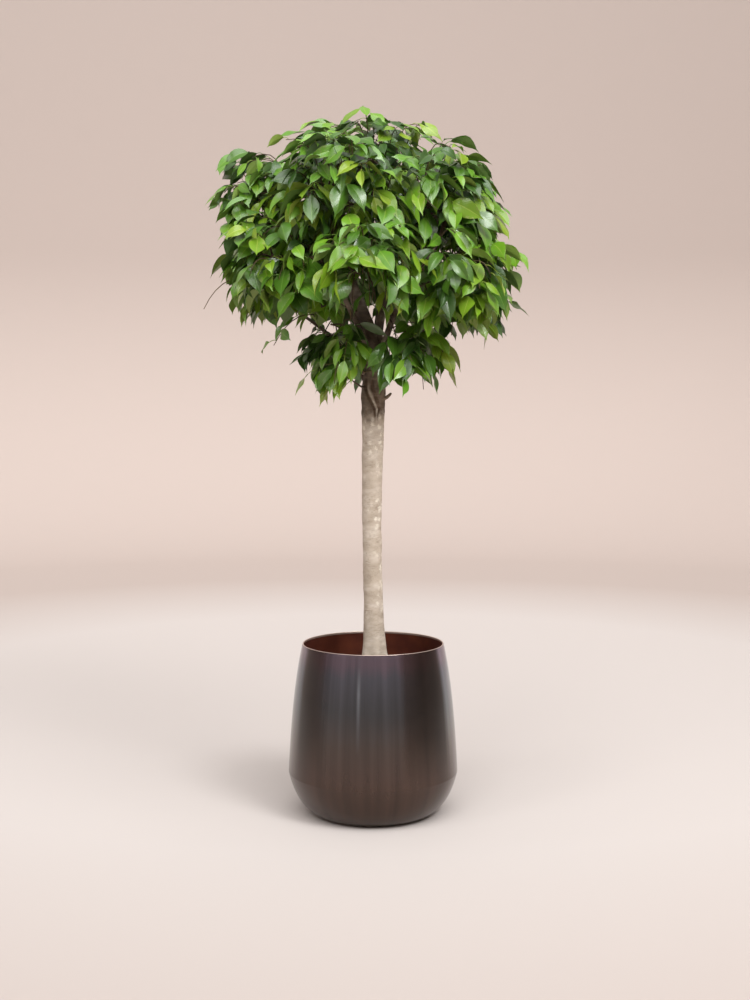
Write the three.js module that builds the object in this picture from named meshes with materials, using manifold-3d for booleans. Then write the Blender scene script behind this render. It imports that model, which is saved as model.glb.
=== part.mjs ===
// A weeping fig grown as a standard: one clear, nearly straight stem under a wide, drooping head of
// leaves, planted in a round-bottomed spun metal planter. Millimetres, +Z up. The origin is the middle
// of the planter's flat underside, -Y is the front and +X the right-hand side seen from the front.
import * as THREE from "three";
import { mergeVertices } from "three/addons/utils/BufferGeometryUtils.js";
import Module from "manifold-3d";

const wasm = await Module();
wasm.setup();

// ---- Driving dimensions ----
const TURN = 2 * Math.PI;
const GAP = 0.4; // left between pieces that touch

const PLANTER = {
  height: 382,
  rimRadius: 158,
  bellyRadius: 190,
  bellyHeight: 94, // height of the crease between the round bottom and the side
  footRadius: 117,
  cornerEnd: 0.4, // how far short of upright the round bottom stops, in radians
  lean: 0.047, // slope of the side where it leaves the crease
  shoulder: 0.65, // share of the side's height that its curve's corner stands at
  wall: 3,
  sides: 32,
};
const SOIL = { belowRim: 60, heapHeight: 5 };
const STEM = {
  forkHeight: 1042,
  waistRadius: 20.8,
  flareRadius: 15.5, // added to the waist at the soil
  flareReach: 45, // height over which the flare fades
  swellHeight: 928, // the old pruning knot, where the stem is thickest under the fork
  swellRadius: 6, // added to the waist there
  swellBelow: 150, // height over which the swelling fades downwards
  swellAbove: 50, // and upwards
  wobble: 2.6, // how far the centreline strays sideways
  rootLobes: 5,
  sides: 16,
  rings: 18,
};
const BOUGH = { sides: 8, rings: 8, tipShare: 0.42, bend: 1.7 };
// Each bough's bearing (degrees from +X towards +Y), thickness at its foot, height of its foot, reach
// sideways and rise above its foot. The first four leave the fork and the last four leave the stem
// round the pruning knot.
const BOUGHS = [
  { name: "bough_left", bearing: 184, radius: 19, from: 1008, reach: 170, rise: 350 },
  { name: "bough_right", bearing: 352, radius: 12, from: 1008, reach: 120, rise: 380 },
  { name: "bough_back_right", bearing: 62, radius: 11.5, from: 1004, reach: 190, rise: 280 },
  { name: "bough_back_left", bearing: 124, radius: 11, from: 1000, reach: 190, rise: 290 },
  { name: "bough_front_left", bearing: 236, radius: 8.5, from: 960, reach: 220, rise: 280 },
  { name: "bough_front_right", bearing: 306, radius: 9, from: 968, reach: 220, rise: 270 },
  { name: "bough_low_left", bearing: 168, radius: 7, from: 936, reach: 180, rise: 190 },
  { name: "bough_low_right", bearing: 20, radius: 7, from: 944, reach: 190, rise: 180 },
];
const HEAD = {
  leanX: -8, // how far the whole head sits off the stem
  lumps: 0.075, // unevenness, as a share of a mass's size
  detail: 2, // subdivision of each mass
};
// The head's tiers of foliage. radial, tangential and vertical are a mass's half sizes, middle is the
// height of its centre and out is how far that is from the stem. tilt raises the left side of the tier
// by that much, and lowers the right side, and skew does the same to how far out the masses stand.
const TIERS = [
  { name: "leaves_top", count: 1, first: 0, out: 0, middle: 1436, radial: 148, tangential: 148,
    vertical: 117, tilt: 0, skew: 0 },
  { name: "leaves_shoulder", count: 5, first: 36, out: 188, middle: 1362, radial: 134, tangential: 144,
    vertical: 110, tilt: 6, skew: 3 },
  { name: "leaves_skirt", count: 7, first: 12, out: 228, middle: 1221, radial: 122, tangential: 130,
    vertical: 148, tilt: 6, skew: -4 },
  { name: "leaves_under", count: 5, first: 18, out: 114, middle: 1014, radial: 72, tangential: 86,
    vertical: 82, tilt: 0, skew: -16 },
];

// ---- Colours and finishes ----
function finish(color, roughness, metalness) {
  return new THREE.MeshStandardMaterial({ color, roughness, metalness });
}
const LACQUER = finish(0x453a3a, 0.22, 0.7);
const COMPOST = finish(0x2e2119, 0.95, 0);
const BARK = finish(0xb5a594, 0.85, 0);
const YOUNG_BARK = finish(0x66543f, 0.8, 0);
const FOLIAGE = finish(0x3c7a1c, 0.5, 0);

// ---- Small tools ----
// A repeatable stream of numbers from 0 to 1 for a whole-number seed.
function seeded(seed) {
  let state = seed * 2654435761 + 12345;
  return () => {
    state = (Math.imul(state ^ (state >>> 15), 2246822519) + 3266489917) | 0;
    return ((state ^ (state >>> 13)) >>> 0) / 4294967296;
  };
}

function radians(degrees) {
  return (degrees * Math.PI) / 180;
}

// A closed geometry as a manifold-3d solid, turned the right way out if its faces point in.
function solidOf(geometry) {
  const bare = geometry.clone();
  bare.deleteAttribute("normal");
  bare.deleteAttribute("uv");
  const merged = mergeVertices(bare, 1e-3);
  const vertProperties = merged.attributes.position.array;
  const make = (triVerts) => new wasm.Manifold(new wasm.Mesh({ numProp: 3, vertProperties, triVerts }));
  const corners = new Uint32Array(merged.index.array);
  const made = make(corners);
  if (made.volume() > 0) return made;
  return make(corners.map((_, i) => corners[i % 3 ? i + (i % 3 === 1 ? 1 : -1) : i]));
}

// The largest single body of a solid, as a geometry.
function geometryOf(solid) {
  const body = solid.decompose().sort((a, b) => b.volume() - a.volume())[0];
  const mesh = body.getMesh();
  const positions = new Float32Array(mesh.numVert * 3);
  for (let i = 0; i < mesh.numVert; i++) {
    positions.set(mesh.vertProperties.subarray(i * mesh.numProp, i * mesh.numProp + 3), i * 3);
  }
  return new THREE.BufferGeometry()
    .setAttribute("position", new THREE.BufferAttribute(positions, 3))
    .setIndex(new THREE.BufferAttribute(mesh.triVerts, 1));
}

function named(name, solid, material) {
  const geometry = geometryOf(solid);
  geometry.computeVertexNormals();
  const mesh = new THREE.Mesh(geometry, material);
  mesh.name = name;
  return mesh;
}

// A solid turned about the Z axis from a profile of (radius, height) points that starts and ends on the
// axis.
function turned(profile) {
  const geometry = new THREE.LatheGeometry(profile, PLANTER.sides);
  geometry.rotateX(Math.PI / 2);
  return solidOf(geometry);
}

// A limb of round rings with flat ends. centreAt(t) is the centreline for t from 0 to 1 and radiusAt(t,
// angle) its radius. Rings lie level when level is true, and square to the centreline when it is false.
function limb(centreAt, radiusAt, sides, rings, level) {
  const positions = [];
  const corners = [];
  const middle = new THREE.Vector3();
  const ahead = new THREE.Vector3();
  const up = new THREE.Vector3(0, 0, 1);
  const turn = new THREE.Quaternion();
  for (let ring = 0; ring <= rings; ring++) {
    const t = ring / rings;
    middle.copy(centreAt(t));
    ahead.copy(centreAt(Math.min(1, t + 0.01))).sub(centreAt(Math.max(0, t - 0.01))).normalize();
    turn.setFromUnitVectors(up, level ? up : ahead);
    for (let side = 0; side < sides; side++) {
      const angle = (TURN * side) / sides;
      const spoke = new THREE.Vector3(Math.cos(angle), Math.sin(angle), 0);
      spoke.multiplyScalar(radiusAt(t, angle)).applyQuaternion(turn).add(middle);
      positions.push(spoke.x, spoke.y, spoke.z);
    }
  }
  for (let ring = 0; ring < rings; ring++) {
    for (let side = 0; side < sides; side++) {
      const a = ring * sides + side;
      const b = ring * sides + ((side + 1) % sides);
      corners.push(a, b, b + sides, a, b + sides, a + sides);
    }
  }
  for (const [end, flip] of [[0, true], [1, false]]) {
    const hub = positions.length / 3;
    const first = end * rings * sides;
    positions.push(...centreAt(end).toArray());
    for (let side = 0; side < sides; side++) {
      const pair = [first + side, first + ((side + 1) % sides)];
      corners.push(hub, ...(flip ? pair.reverse() : pair));
    }
  }
  const geometry = new THREE.BufferGeometry()
    .setAttribute("position", new THREE.Float32BufferAttribute(positions, 3))
    .setIndex(corners);
  return solidOf(geometry);
}

// ---- Planter and soil ----
const SOIL_TOP = PLANTER.height - SOIL.belowRim;

// The planter's wall from the edge of its foot to its rim, set inwards by inset: part of a quarter of an
// ellipse up to the crease, then a curve that closes in to the rim.
function wallLine(inset) {
  const { height, rimRadius, bellyRadius, bellyHeight, footRadius, cornerEnd, lean, shoulder } = PLANTER;
  const middle = bellyHeight / (1 - Math.sin(cornerEnd));
  const reach = (bellyRadius - footRadius) / Math.cos(cornerEnd);
  const corner = new THREE.EllipseCurve(
    footRadius, middle, reach - inset, middle - inset, -Math.PI / 2, -cornerEnd, false,
  );
  const crease = corner.getPoint(1);
  const rise = shoulder * (height - crease.y);
  const side = new THREE.QuadraticBezierCurve(
    crease,
    new THREE.Vector2(crease.x - lean * rise, crease.y + rise),
    new THREE.Vector2(rimRadius - inset, height),
  );
  return [...corner.getPoints(5), ...side.getPoints(4).slice(1)];
}

function planter() {
  const outside = wallLine(0);
  const inside = wallLine(PLANTER.wall).reverse();
  return turned([new THREE.Vector2(0, 0), ...outside, ...inside, new THREE.Vector2(0, PLANTER.wall)]);
}

// Compost from the planter's floor to a little under its rim, slightly heaped towards the stem.
function soil() {
  const inset = PLANTER.wall + GAP;
  const line = wallLine(inset).filter((point) => point.y < SOIL_TOP - SOIL.heapHeight - 1);
  const above = wallLine(inset).find((point) => point.y >= SOIL_TOP - SOIL.heapHeight - 1);
  const last = line[line.length - 1];
  const share = (SOIL_TOP - SOIL.heapHeight - last.y) / (above.y - last.y);
  const edge = last.clone().lerp(above, share);
  return turned([
    new THREE.Vector2(0, inset),
    ...line,
    edge,
    new THREE.Vector2(edge.x * 0.45, SOIL_TOP - GAP),
    new THREE.Vector2(0, SOIL_TOP - GAP),
  ]);
}

// ---- Stem and boughs ----
function stemCentre(t) {
  const height = SOIL_TOP + t * (STEM.forkHeight - SOIL_TOP);
  return new THREE.Vector3(
    STEM.wobble * Math.cos(TURN * t),
    STEM.wobble * Math.sin(TURN * 0.7 * t),
    height,
  );
}

// The stem's radius at a height and angle: it narrows from its lobed root flare to a waist and swells
// again round the old pruning knot.
function stemRadius(height, angle) {
  const flare = STEM.flareRadius * Math.exp((SOIL_TOP - height) / STEM.flareReach);
  const lobes = 1 + 0.28 * Math.cos(STEM.rootLobes * angle);
  const above = height - STEM.swellHeight;
  const fade = above < 0 ? Math.exp(above / STEM.swellBelow) : Math.exp(-((above / STEM.swellAbove) ** 2));
  return STEM.waistRadius + flare * lobes + STEM.swellRadius * fade;
}

function stem(grow) {
  const tall = STEM.forkHeight - SOIL_TOP;
  const radiusAt = (t, angle) => stemRadius(SOIL_TOP + t * tall, angle) + grow;
  return limb(stemCentre, radiusAt, STEM.sides, STEM.rings, true);
}

// A bough leaves the stem steeply and curves outwards as it rises, tapering evenly.
function bough({ bearing, radius, from, reach, rise }, grow) {
  const angle = radians(bearing);
  const foot = stemCentre((from - SOIL_TOP) / (STEM.forkHeight - SOIL_TOP));
  const start = Math.max(0, STEM.waistRadius - radius - 2);
  const centreAt = (t) => {
    const out = start * (1 - t) + reach * t ** BOUGH.bend;
    return new THREE.Vector3(Math.cos(angle) * out, Math.sin(angle) * out, rise * t).add(foot);
  };
  const radiusAt = (t) => radius * (1 - (1 - BOUGH.tipShare) * t) + grow;
  return limb(centreAt, radiusAt, BOUGH.sides, BOUGH.rings, false);
}

// ---- Masses of foliage ----
// One mass is a ball stretched to its three half sizes and pushed in and out by slow waves over its
// surface.
function mass(shape, grow) {
  const geometry = new THREE.IcosahedronGeometry(1, HEAD.detail);
  const position = geometry.getAttribute("position");
  const random = seeded(shape.seed);
  const waves = Array.from({ length: 5 }, () => ({
    along: new THREE.Vector3(random() - 0.5, random() - 0.5, random() - 0.5).multiplyScalar(8),
    phase: random() * TURN,
  }));
  const point = new THREE.Vector3();
  for (let i = 0; i < position.count; i++) {
    point.fromBufferAttribute(position, i).normalize();
    const lump = waves.reduce((sum, wave) => sum + Math.sin(wave.along.dot(point) + wave.phase), 0);
    const stretch = 1 + HEAD.lumps * lump * 0.5;
    point.set(
      point.x * (shape.radial * stretch + grow),
      point.y * (shape.tangential * stretch + grow),
      point.z * (shape.vertical * stretch + grow),
    );
    position.setXYZ(i, point.x, point.y, point.z);
  }
  geometry.rotateZ(shape.angle);
  geometry.translate(shape.x, shape.y, shape.z);
  return solidOf(geometry);
}

// Every mass's place and size, tier by tier round the stem, each a little different from its neighbours.
function massShapes() {
  const shapes = [];
  for (const tier of TIERS) {
    for (let i = 0; i < tier.count; i++) {
      const seed = shapes.length + 1;
      const random = seeded(seed * 31);
      const vary = (share) => 1 + share * (2 * random() - 1);
      const angle = radians(tier.first + (360 * i) / tier.count);
      const left = -Math.cos(angle);
      const out = tier.out * vary(0.04) + tier.skew * left;
      shapes.push({
        name: tier.count > 1 ? tier.name + "_" + (i + 1) : tier.name,
        seed,
        angle,
        x: HEAD.leanX + out * Math.cos(angle),
        y: out * Math.sin(angle),
        z: tier.middle + tier.tilt * left + tier.vertical * 0.08 * (2 * random() - 1),
        radial: tier.radial * vary(0.05),
        tangential: tier.tangential * vary(0.05),
        vertical: tier.vertical * vary(0.06),
      });
    }
  }
  return shapes;
}

// ---- Assembly ----
const plant = new THREE.Group();
plant.add(named("planter", planter(), LACQUER));
plant.add(named("soil", soil(), COMPOST));
plant.add(named("stem", stem(0), BARK));

// Each mass gives way to those made before it, so neighbours meet along one uneven seam.
const shapes = massShapes();
const masses = shapes.map((shape) => mass(shape, 0));
const grownMasses = shapes.map((shape) => mass(shape, GAP));
shapes.forEach((shape, i) => {
  const cut = grownMasses.slice(0, i).reduce((left, other) => left.subtract(other), masses[i]);
  plant.add(named(shape.name, cut.subtract(stem(GAP)), FOLIAGE));
});

// Boughs start on the stem, give way to thicker boughs in the fork, and end where they enter a mass.
const blocks = [stem(GAP), ...grownMasses];
for (const shape of BOUGHS) {
  const cut = blocks.reduce((left, other) => left.subtract(other), bough(shape, 0));
  plant.add(named(shape.name, cut, YOUNG_BARK));
  blocks.push(bough(shape, GAP));
}

export default plant;
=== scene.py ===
"""Weeping fig grown as a standard: a clear stem under a round drooping head, in a spun metal planter.

Everything is in metres, +Z up, with the origin in the middle of the planter's flat underside and the front
towards -Y. The stem, boughs, planter and soil are fine surfaces laid over their CAD nodes, and the head is
twigs and leaves grown from the boughs into the room that the CAD masses hold.
"""

import math

import bpy
import numpy as np
from bpy.props import FloatProperty, FloatVectorProperty, IntProperty, PointerProperty
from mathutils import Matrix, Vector
from mathutils.bvhtree import BVHTree


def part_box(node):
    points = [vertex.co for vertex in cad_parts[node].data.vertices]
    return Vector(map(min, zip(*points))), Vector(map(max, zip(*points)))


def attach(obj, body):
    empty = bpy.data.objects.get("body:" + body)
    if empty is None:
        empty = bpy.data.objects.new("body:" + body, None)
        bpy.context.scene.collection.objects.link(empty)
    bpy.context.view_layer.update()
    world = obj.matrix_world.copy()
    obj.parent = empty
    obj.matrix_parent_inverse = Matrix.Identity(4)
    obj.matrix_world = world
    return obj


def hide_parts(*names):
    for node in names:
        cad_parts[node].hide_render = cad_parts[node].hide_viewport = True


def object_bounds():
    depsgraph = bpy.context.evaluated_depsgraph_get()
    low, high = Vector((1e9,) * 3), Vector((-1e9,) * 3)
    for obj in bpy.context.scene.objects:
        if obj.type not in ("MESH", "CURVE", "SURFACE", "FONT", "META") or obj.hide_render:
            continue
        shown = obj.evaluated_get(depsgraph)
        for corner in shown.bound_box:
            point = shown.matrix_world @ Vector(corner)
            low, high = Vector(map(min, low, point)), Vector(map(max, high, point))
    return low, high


bl_info = {
    "name": "Weeping Fig Standard",
    "version": (1, 0, 0),
    "blender": (4, 5, 0),
    "location": "View3D > Sidebar > Fig",
    "description": "Dresses a potted weeping fig standard over its CAD frame",
    "category": "Object",
}

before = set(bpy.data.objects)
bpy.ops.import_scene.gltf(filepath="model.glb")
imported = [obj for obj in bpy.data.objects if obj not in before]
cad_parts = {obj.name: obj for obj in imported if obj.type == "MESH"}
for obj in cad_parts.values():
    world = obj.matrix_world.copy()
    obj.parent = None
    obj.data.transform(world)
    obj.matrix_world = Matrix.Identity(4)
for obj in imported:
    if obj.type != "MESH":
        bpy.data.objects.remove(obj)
CAD_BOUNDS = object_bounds()

TURN = 2 * math.pi
UP = np.array([0.0, 0.0, 1.0])

PLANTER_HIGH = np.array(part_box("planter")[1])
SOIL_TOP, FORK = (corner[2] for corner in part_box("stem"))
# Points along the planter's wall: round its bottom, and up its side.
BOTTOM_POINTS = 28
SIDE_POINTS = 44

# Bearing in degrees from +X towards +Y, foot radius, foot height, reach sideways and rise, in metres.
BOUGHS = {
    "bough_left": (184, 0.0190, 1.008, 0.170, 0.350),
    "bough_right": (352, 0.0120, 1.008, 0.120, 0.380),
    "bough_back_right": (62, 0.0115, 1.004, 0.190, 0.280),
    "bough_back_left": (124, 0.0110, 1.000, 0.190, 0.290),
    "bough_front_left": (236, 0.0085, 0.960, 0.220, 0.280),
    "bough_front_right": (306, 0.0090, 0.968, 0.220, 0.270),
    "bough_low_left": (168, 0.0070, 0.936, 0.180, 0.190),
    "bough_low_right": (20, 0.0070, 0.944, 0.190, 0.180),
}
# Snags of shoots cut off the knot: bearing in degrees, height, reach, rise and foot radius, in metres.
STUBS = (
    (-22, 0.924, 0.026, 0.012, 0.0046),
    (214, 0.950, 0.042, 0.014, 0.0026),
    (70, 0.930, 0.030, 0.016, 0.0032),
    (310, 0.944, 0.016, 0.012, 0.0036),
)
MASSES = sorted(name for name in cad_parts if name.startswith("leaves_"))
# The middle of the head, and the height above which it is its dome, in metres.
HEAD_MIDDLE = np.array([-0.008, 0.0, 1.20])
DOME = 1.33
# Long loose shoots: start, bend and end of each in metres, and how many leaves hang from it. Those with none
# are dead twigs.
WISPS = (
    ((-0.13, -0.04, 1.110, -0.178, -0.05, 1.115, -0.215, -0.06, 1.042), 4),
    ((-0.04, -0.05, 1.000, -0.095, -0.07, 1.015, -0.128, -0.08, 0.985), 5),
    ((-0.02, -0.05, 0.985, -0.060, -0.08, 0.995, -0.085, -0.09, 0.952), 6),
    ((-0.05, -0.03, 1.120, -0.100, -0.05, 1.160, -0.125, -0.06, 1.110), 6),
    ((0.04, -0.03, 1.080, 0.090, -0.06, 1.110, 0.120, -0.07, 1.070), 6),
    ((-0.05, -0.08, 1.060, -0.055, -0.13, 1.060, -0.060, -0.15, 1.010), 4),
    ((0.10, -0.04, 1.070, 0.140, -0.05, 1.080, 0.158, -0.06, 1.005), 5),
    ((0.04, -0.08, 1.020, 0.070, -0.12, 1.030, 0.085, -0.14, 0.990), 4),
    ((0.02, -0.06, 0.990, 0.060, -0.10, 1.005, 0.050, -0.13, 0.975), 3),
    ((0.15, -0.06, 1.140, 0.178, -0.08, 1.130, 0.168, -0.09, 1.062), 0),
    ((-0.27, -0.06, 1.190, -0.330, -0.08, 1.190, -0.362, -0.09, 1.118), 0),
    ((0.24, -0.04, 1.250, 0.295, -0.05, 1.265, 0.310, -0.06, 1.205), 4),
    ((0.22, 0.05, 1.180, 0.275, 0.05, 1.195, 0.292, 0.05, 1.135), 3),
    ((-0.01, -0.03, 1.460, -0.010, -0.06, 1.540, -0.022, -0.09, 1.545), 6),
    ((0.06, -0.03, 1.440, 0.080, -0.05, 1.500, 0.095, -0.08, 1.508), 5),
    ((-0.14, -0.03, 1.380, -0.200, -0.06, 1.455, -0.262, -0.09, 1.430), 7),
    ((-0.20, -0.03, 1.330, -0.270, -0.06, 1.405, -0.315, -0.08, 1.372), 7),
    ((-0.07, -0.04, 1.420, -0.130, -0.07, 1.490, -0.185, -0.09, 1.475), 6),
    ((0.03, -0.06, 1.385, 0.065, -0.22, 1.375, 0.128, -0.285, 1.300), 0),
)
# The head is open here in front of the fork: low and high corners in metres.
WINDOW = ((-0.060, -1.0, 1.082), (0.030, -0.03, 1.185))


# ---- Colours and nodes ----
def linear(code):
    """Linear RGB of an sRGB hex colour such as "#3c7a1c"."""
    channels = [int(code[i : i + 2], 16) / 255 for i in (1, 3, 5)]
    return tuple(c / 12.92 if c <= 0.04045 else ((c + 0.055) / 1.055) ** 2.4 for c in channels)


def add(tree, kind, inputs=None, stops=None, **settings):
    """Adds a node with its settings.

    Inputs are values, or the outputs that they link from. Stops are a colour ramp's places and colours.
    """
    node = tree.nodes.new(kind)
    for key, value in settings.items():
        setattr(node, key, value)
    for key, value in (inputs or {}).items():
        if isinstance(value, bpy.types.NodeSocket):
            tree.links.new(value, node.inputs[key])
        else:
            node.inputs[key].default_value = value
    if stops:
        elements = node.color_ramp.elements
        while len(elements) < len(stops):
            elements.new(1.0)
        for element, (place, colour) in zip(elements, stops):
            element.position = place
            element.color = (*colour, 1.0)
    return node


def new_material(name):
    """An empty node material, its tree and the Principled shader that its output takes."""
    material = bpy.data.materials.new(name)
    material.use_nodes = True
    tree = material.node_tree
    tree.nodes.clear()
    shader = add(tree, "ShaderNodeBsdfPrincipled")
    add(tree, "ShaderNodeOutputMaterial", {"Surface": shader.outputs["BSDF"]})
    return material, tree, shader


# ---- Meshes ----
def grid_quads(rows, columns, closed=False):
    """Quads of a grid numbered row by row. The last column joins the first when closed."""
    strips = columns if closed else columns - 1
    down, across = np.meshgrid(np.arange(rows - 1), np.arange(strips), indexing="ij")
    beside = (across + 1) % columns
    a, b = down * columns + across, down * columns + beside
    return np.stack([a, b, b + columns, a + columns], -1).reshape(-1, 4)


def make_piece(name, points, quads, tris, materials, slots=None, uv=None, attributes=None, sharp=None):
    """Makes a smooth mesh object from whole arrays and puts it on the plant's one body.

    slots gives each face's material, quads first, uv each corner's place, attributes a number per point by
    name, and sharp flags the points whose shared edges are creased.
    """
    quads = np.asarray(quads).reshape(-1, 4)
    tris = np.asarray(tris).reshape(-1, 3)
    corners = np.concatenate([quads.ravel(), tris.ravel()]).astype(np.int32)
    starts = np.concatenate([np.arange(len(quads)) * 4, len(quads) * 4 + np.arange(len(tris)) * 3])
    mesh = bpy.data.meshes.new(name)
    mesh.vertices.add(len(points))
    mesh.vertices.foreach_set("co", np.asarray(points, np.float32).ravel())
    mesh.loops.add(len(corners))
    mesh.loops.foreach_set("vertex_index", corners)
    mesh.polygons.add(len(starts))
    mesh.polygons.foreach_set("loop_start", starts.astype(np.int32))
    for material in materials:
        mesh.materials.append(material)
    if slots is not None:
        mesh.polygons.foreach_set("material_index", np.asarray(slots, np.int32))
    mesh.update(calc_edges=True)
    mesh.shade_smooth()
    if uv is not None:
        mesh.uv_layers.new(name="Growth").data.foreach_set("uv", np.asarray(uv, np.float32).ravel())
    for key, values in (attributes or {}).items():
        attribute = mesh.attributes.new(key, "FLOAT", "POINT")
        attribute.data.foreach_set("value", np.asarray(values, np.float32).ravel())
    if sharp is not None:
        ends = np.empty(len(mesh.edges) * 2, np.int32)
        mesh.edges.foreach_get("vertices", ends)
        crease = sharp[ends[0::2]] & sharp[ends[1::2]]
        mesh.attributes.new("sharp_edge", "BOOLEAN", "EDGE").data.foreach_set("value", crease)
    piece = bpy.data.objects.new(name, mesh)
    bpy.context.scene.collection.objects.link(piece)
    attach(piece, "root")
    return piece


def unit(vectors):
    """Vectors at length one."""
    return vectors / np.maximum(np.linalg.norm(vectors, axis=-1, keepdims=True), 1e-12)


def lattice(cells, seed):
    """A repeatable number from 0 to 1 for each whole-number cell, by integer hashing."""
    x, y, z = (cells[..., axis] for axis in range(3))
    mixed = x * 374761393 + y * 668265263 + z * 1440662683 + seed * 974711
    mixed = (mixed ^ (mixed >> 13)) * 1274126177 & 0xFFFFFFFF
    return ((mixed ^ (mixed >> 16)) & 0xFFFFFFFF) / 0xFFFFFFFF


def noise(points, seed=0):
    """Smooth noise from -1 to 1: a unit cell's eight corners blended by 3f^2 - 2f^3 along each axis."""
    cell = np.floor(points).astype(np.int64)
    ease = points - cell
    ease = ease * ease * (3 - 2 * ease)
    total = np.zeros(points.shape[:-1])
    for corner in np.ndindex(2, 2, 2):
        weight = np.prod(np.where(corner, ease, 1 - ease), axis=-1)
        total += weight * lattice(cell + np.array(corner), seed)
    return 2 * total - 1


def step_up(values, width):
    """A smooth step from 0 to 1 where values pass nought: 1 / (1 + e^(-values / width))."""
    return 1 / (1 + np.exp(-values / width))


def direction(heading, slope=0.0):
    """Directions of length one, from headings round Z and slopes above level, in radians."""
    level = np.cos(slope)
    return np.stack([level * np.cos(heading), level * np.sin(heading), np.sin(slope) + 0 * heading], -1)


def tube_faces(rings, sides):
    """Quads of a tube of rings, and a fan at each end whose hub is numbered after all the rings' points."""
    side = np.arange(sides)
    after = (side + 1) % sides
    hub = rings * sides
    last = hub - sides
    foot = np.stack([np.full(sides, hub), after, side], -1)
    head = np.stack([np.full(sides, hub + 1), last + side, last + after], -1)
    return grid_quads(rings, sides, closed=True), np.concatenate([foot, head])


def lathe(radii, heights, sides):
    """A profile turned once round Z, with a fan of triangles to the axis at each end."""
    angle = np.arange(sides) * TURN / sides
    ring = np.stack([np.cos(angle), np.sin(angle)], -1)
    flat = radii[:, None, None] * ring[None]
    up = np.broadcast_to(heights[:, None, None], (len(radii), sides, 1))
    points = np.concatenate([flat, up], -1).reshape(-1, 3)
    points = np.concatenate([points, [[0, 0, heights[0]], [0, 0, heights[-1]]]])
    return points, *tube_faces(len(radii), sides)


def sweep(path, radii, sides, relief=None):
    """Rings of a tube along a path, shaped (rings, sides, 3).

    Each ring lies square to the path. Its first spoke is square to the path's own best plane too, found as
    the direction in which the path's points spread least, so the tube doesn't twist. relief is added to the
    radius.
    """
    ahead = unit(np.gradient(path, axis=0))
    _, _, axes = np.linalg.svd(path - path.mean(0), full_matrices=True)
    across = unit(np.cross(ahead, axes[2]))
    over = np.cross(across, ahead)
    angle = np.arange(sides) * TURN / sides
    spokes = np.cos(angle)[None, :, None] * over[:, None] + np.sin(angle)[None, :, None] * across[:, None]
    reach = radii[:, None] if relief is None else radii[:, None] + relief
    return path[:, None] + spokes * reach[..., None]


def outward(points, quads, tris):
    """The same faces, turned over if the closed surface they make holds a negative volume."""
    split = np.concatenate([quads[:, [0, 1, 2]], quads[:, [0, 2, 3]], tris])
    a, b, c = (points[split[:, i]] for i in range(3))
    if np.einsum("ij,ij->i", a, np.cross(b, c)).sum() < 0:
        return quads[:, ::-1], tris[:, ::-1]
    return quads, tris


def closed_tube(rings):
    """Points, quads and end fans of a tube given as rings, its faces pointing outwards."""
    count, sides = rings.shape[:2]
    points = np.concatenate([rings.reshape(-1, 3), rings[0].mean(0)[None], rings[-1].mean(0)[None]])
    return points, *outward(points - points.mean(0), *tube_faces(count, sides))


def joined(parts):
    """Several (points, quads, tris) as one, with each part's own point numbers moved on."""
    counts = np.cumsum([0] + [len(points) for points, _, _ in parts])
    points = np.concatenate([points for points, _, _ in parts])
    quads = np.concatenate([quads + start for (_, quads, _), start in zip(parts, counts)])
    tris = np.concatenate([tris + start for (_, _, tris), start in zip(parts, counts)])
    return points, quads, tris


# ---- Settings ----
class PlanterSettings(bpy.types.PropertyGroup):
    """Sizes and colours of the planter and its compost."""

    crease_height: FloatProperty(
        name="Crease height", description="Where the bottom meets the side", default=0.094, unit="LENGTH"
    )
    foot_radius: FloatProperty(
        name="Foot radius", description="Radius of the flat foot", default=0.117, unit="LENGTH"
    )
    rim_radius: FloatProperty(
        name="Rim radius", description="Outer radius at the rim", default=0.158, unit="LENGTH"
    )
    corner_end: FloatProperty(
        name="Corner end", description="How far short of upright the bottom is", default=0.4, subtype="ANGLE"
    )
    lean: FloatProperty(
        name="Lean", description="Slope of the side where it leaves the crease", default=0.047
    )
    wall: FloatProperty(name="Wall", description="Thickness of the spun wall", default=0.0026, unit="LENGTH")
    shoulder: FloatProperty(
        name="Shoulder",
        description="Share of the side where its curve's corner stands",
        default=0.65,
        min=0,
        max=1,
    )
    lacquer: FloatVectorProperty(
        name="Lacquer", description="Brown lacquer of the bottom", default=linear("#493e3a"), subtype="COLOR"
    )
    lining: FloatVectorProperty(
        name="Lining", description="Rust-red inside", default=linear("#5d2b18"), subtype="COLOR"
    )
    compost: FloatVectorProperty(
        name="Compost", description="Moist peat", default=linear("#2b1d15"), subtype="COLOR"
    )


class BarkSettings(bpy.types.PropertyGroup):
    """Sizes and colours of the stem and boughs."""

    waist: FloatProperty(name="Waist", description="Stem radius at its waist", default=0.0208, unit="LENGTH")
    flare: FloatProperty(
        name="Flare", description="Added to the radius at the soil", default=0.0155, unit="LENGTH"
    )
    flare_reach: FloatProperty(
        name="Flare reach", description="Height over which the flare fades", default=0.045, unit="LENGTH"
    )
    knot_height: FloatProperty(
        name="Knot height", description="Height of the old pruning knot", default=0.928, unit="LENGTH"
    )
    knot: FloatProperty(
        name="Knot", description="Added to the radius at the knot", default=0.0060, unit="LENGTH"
    )
    pale: FloatVectorProperty(
        name="Pale bark", description="Bark of the clear stem", default=linear("#b8ab9b"), subtype="COLOR"
    )
    dark: FloatVectorProperty(
        name="Dark bark", description="Boughs and knot", default=linear("#5c4a39"), subtype="COLOR"
    )


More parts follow.
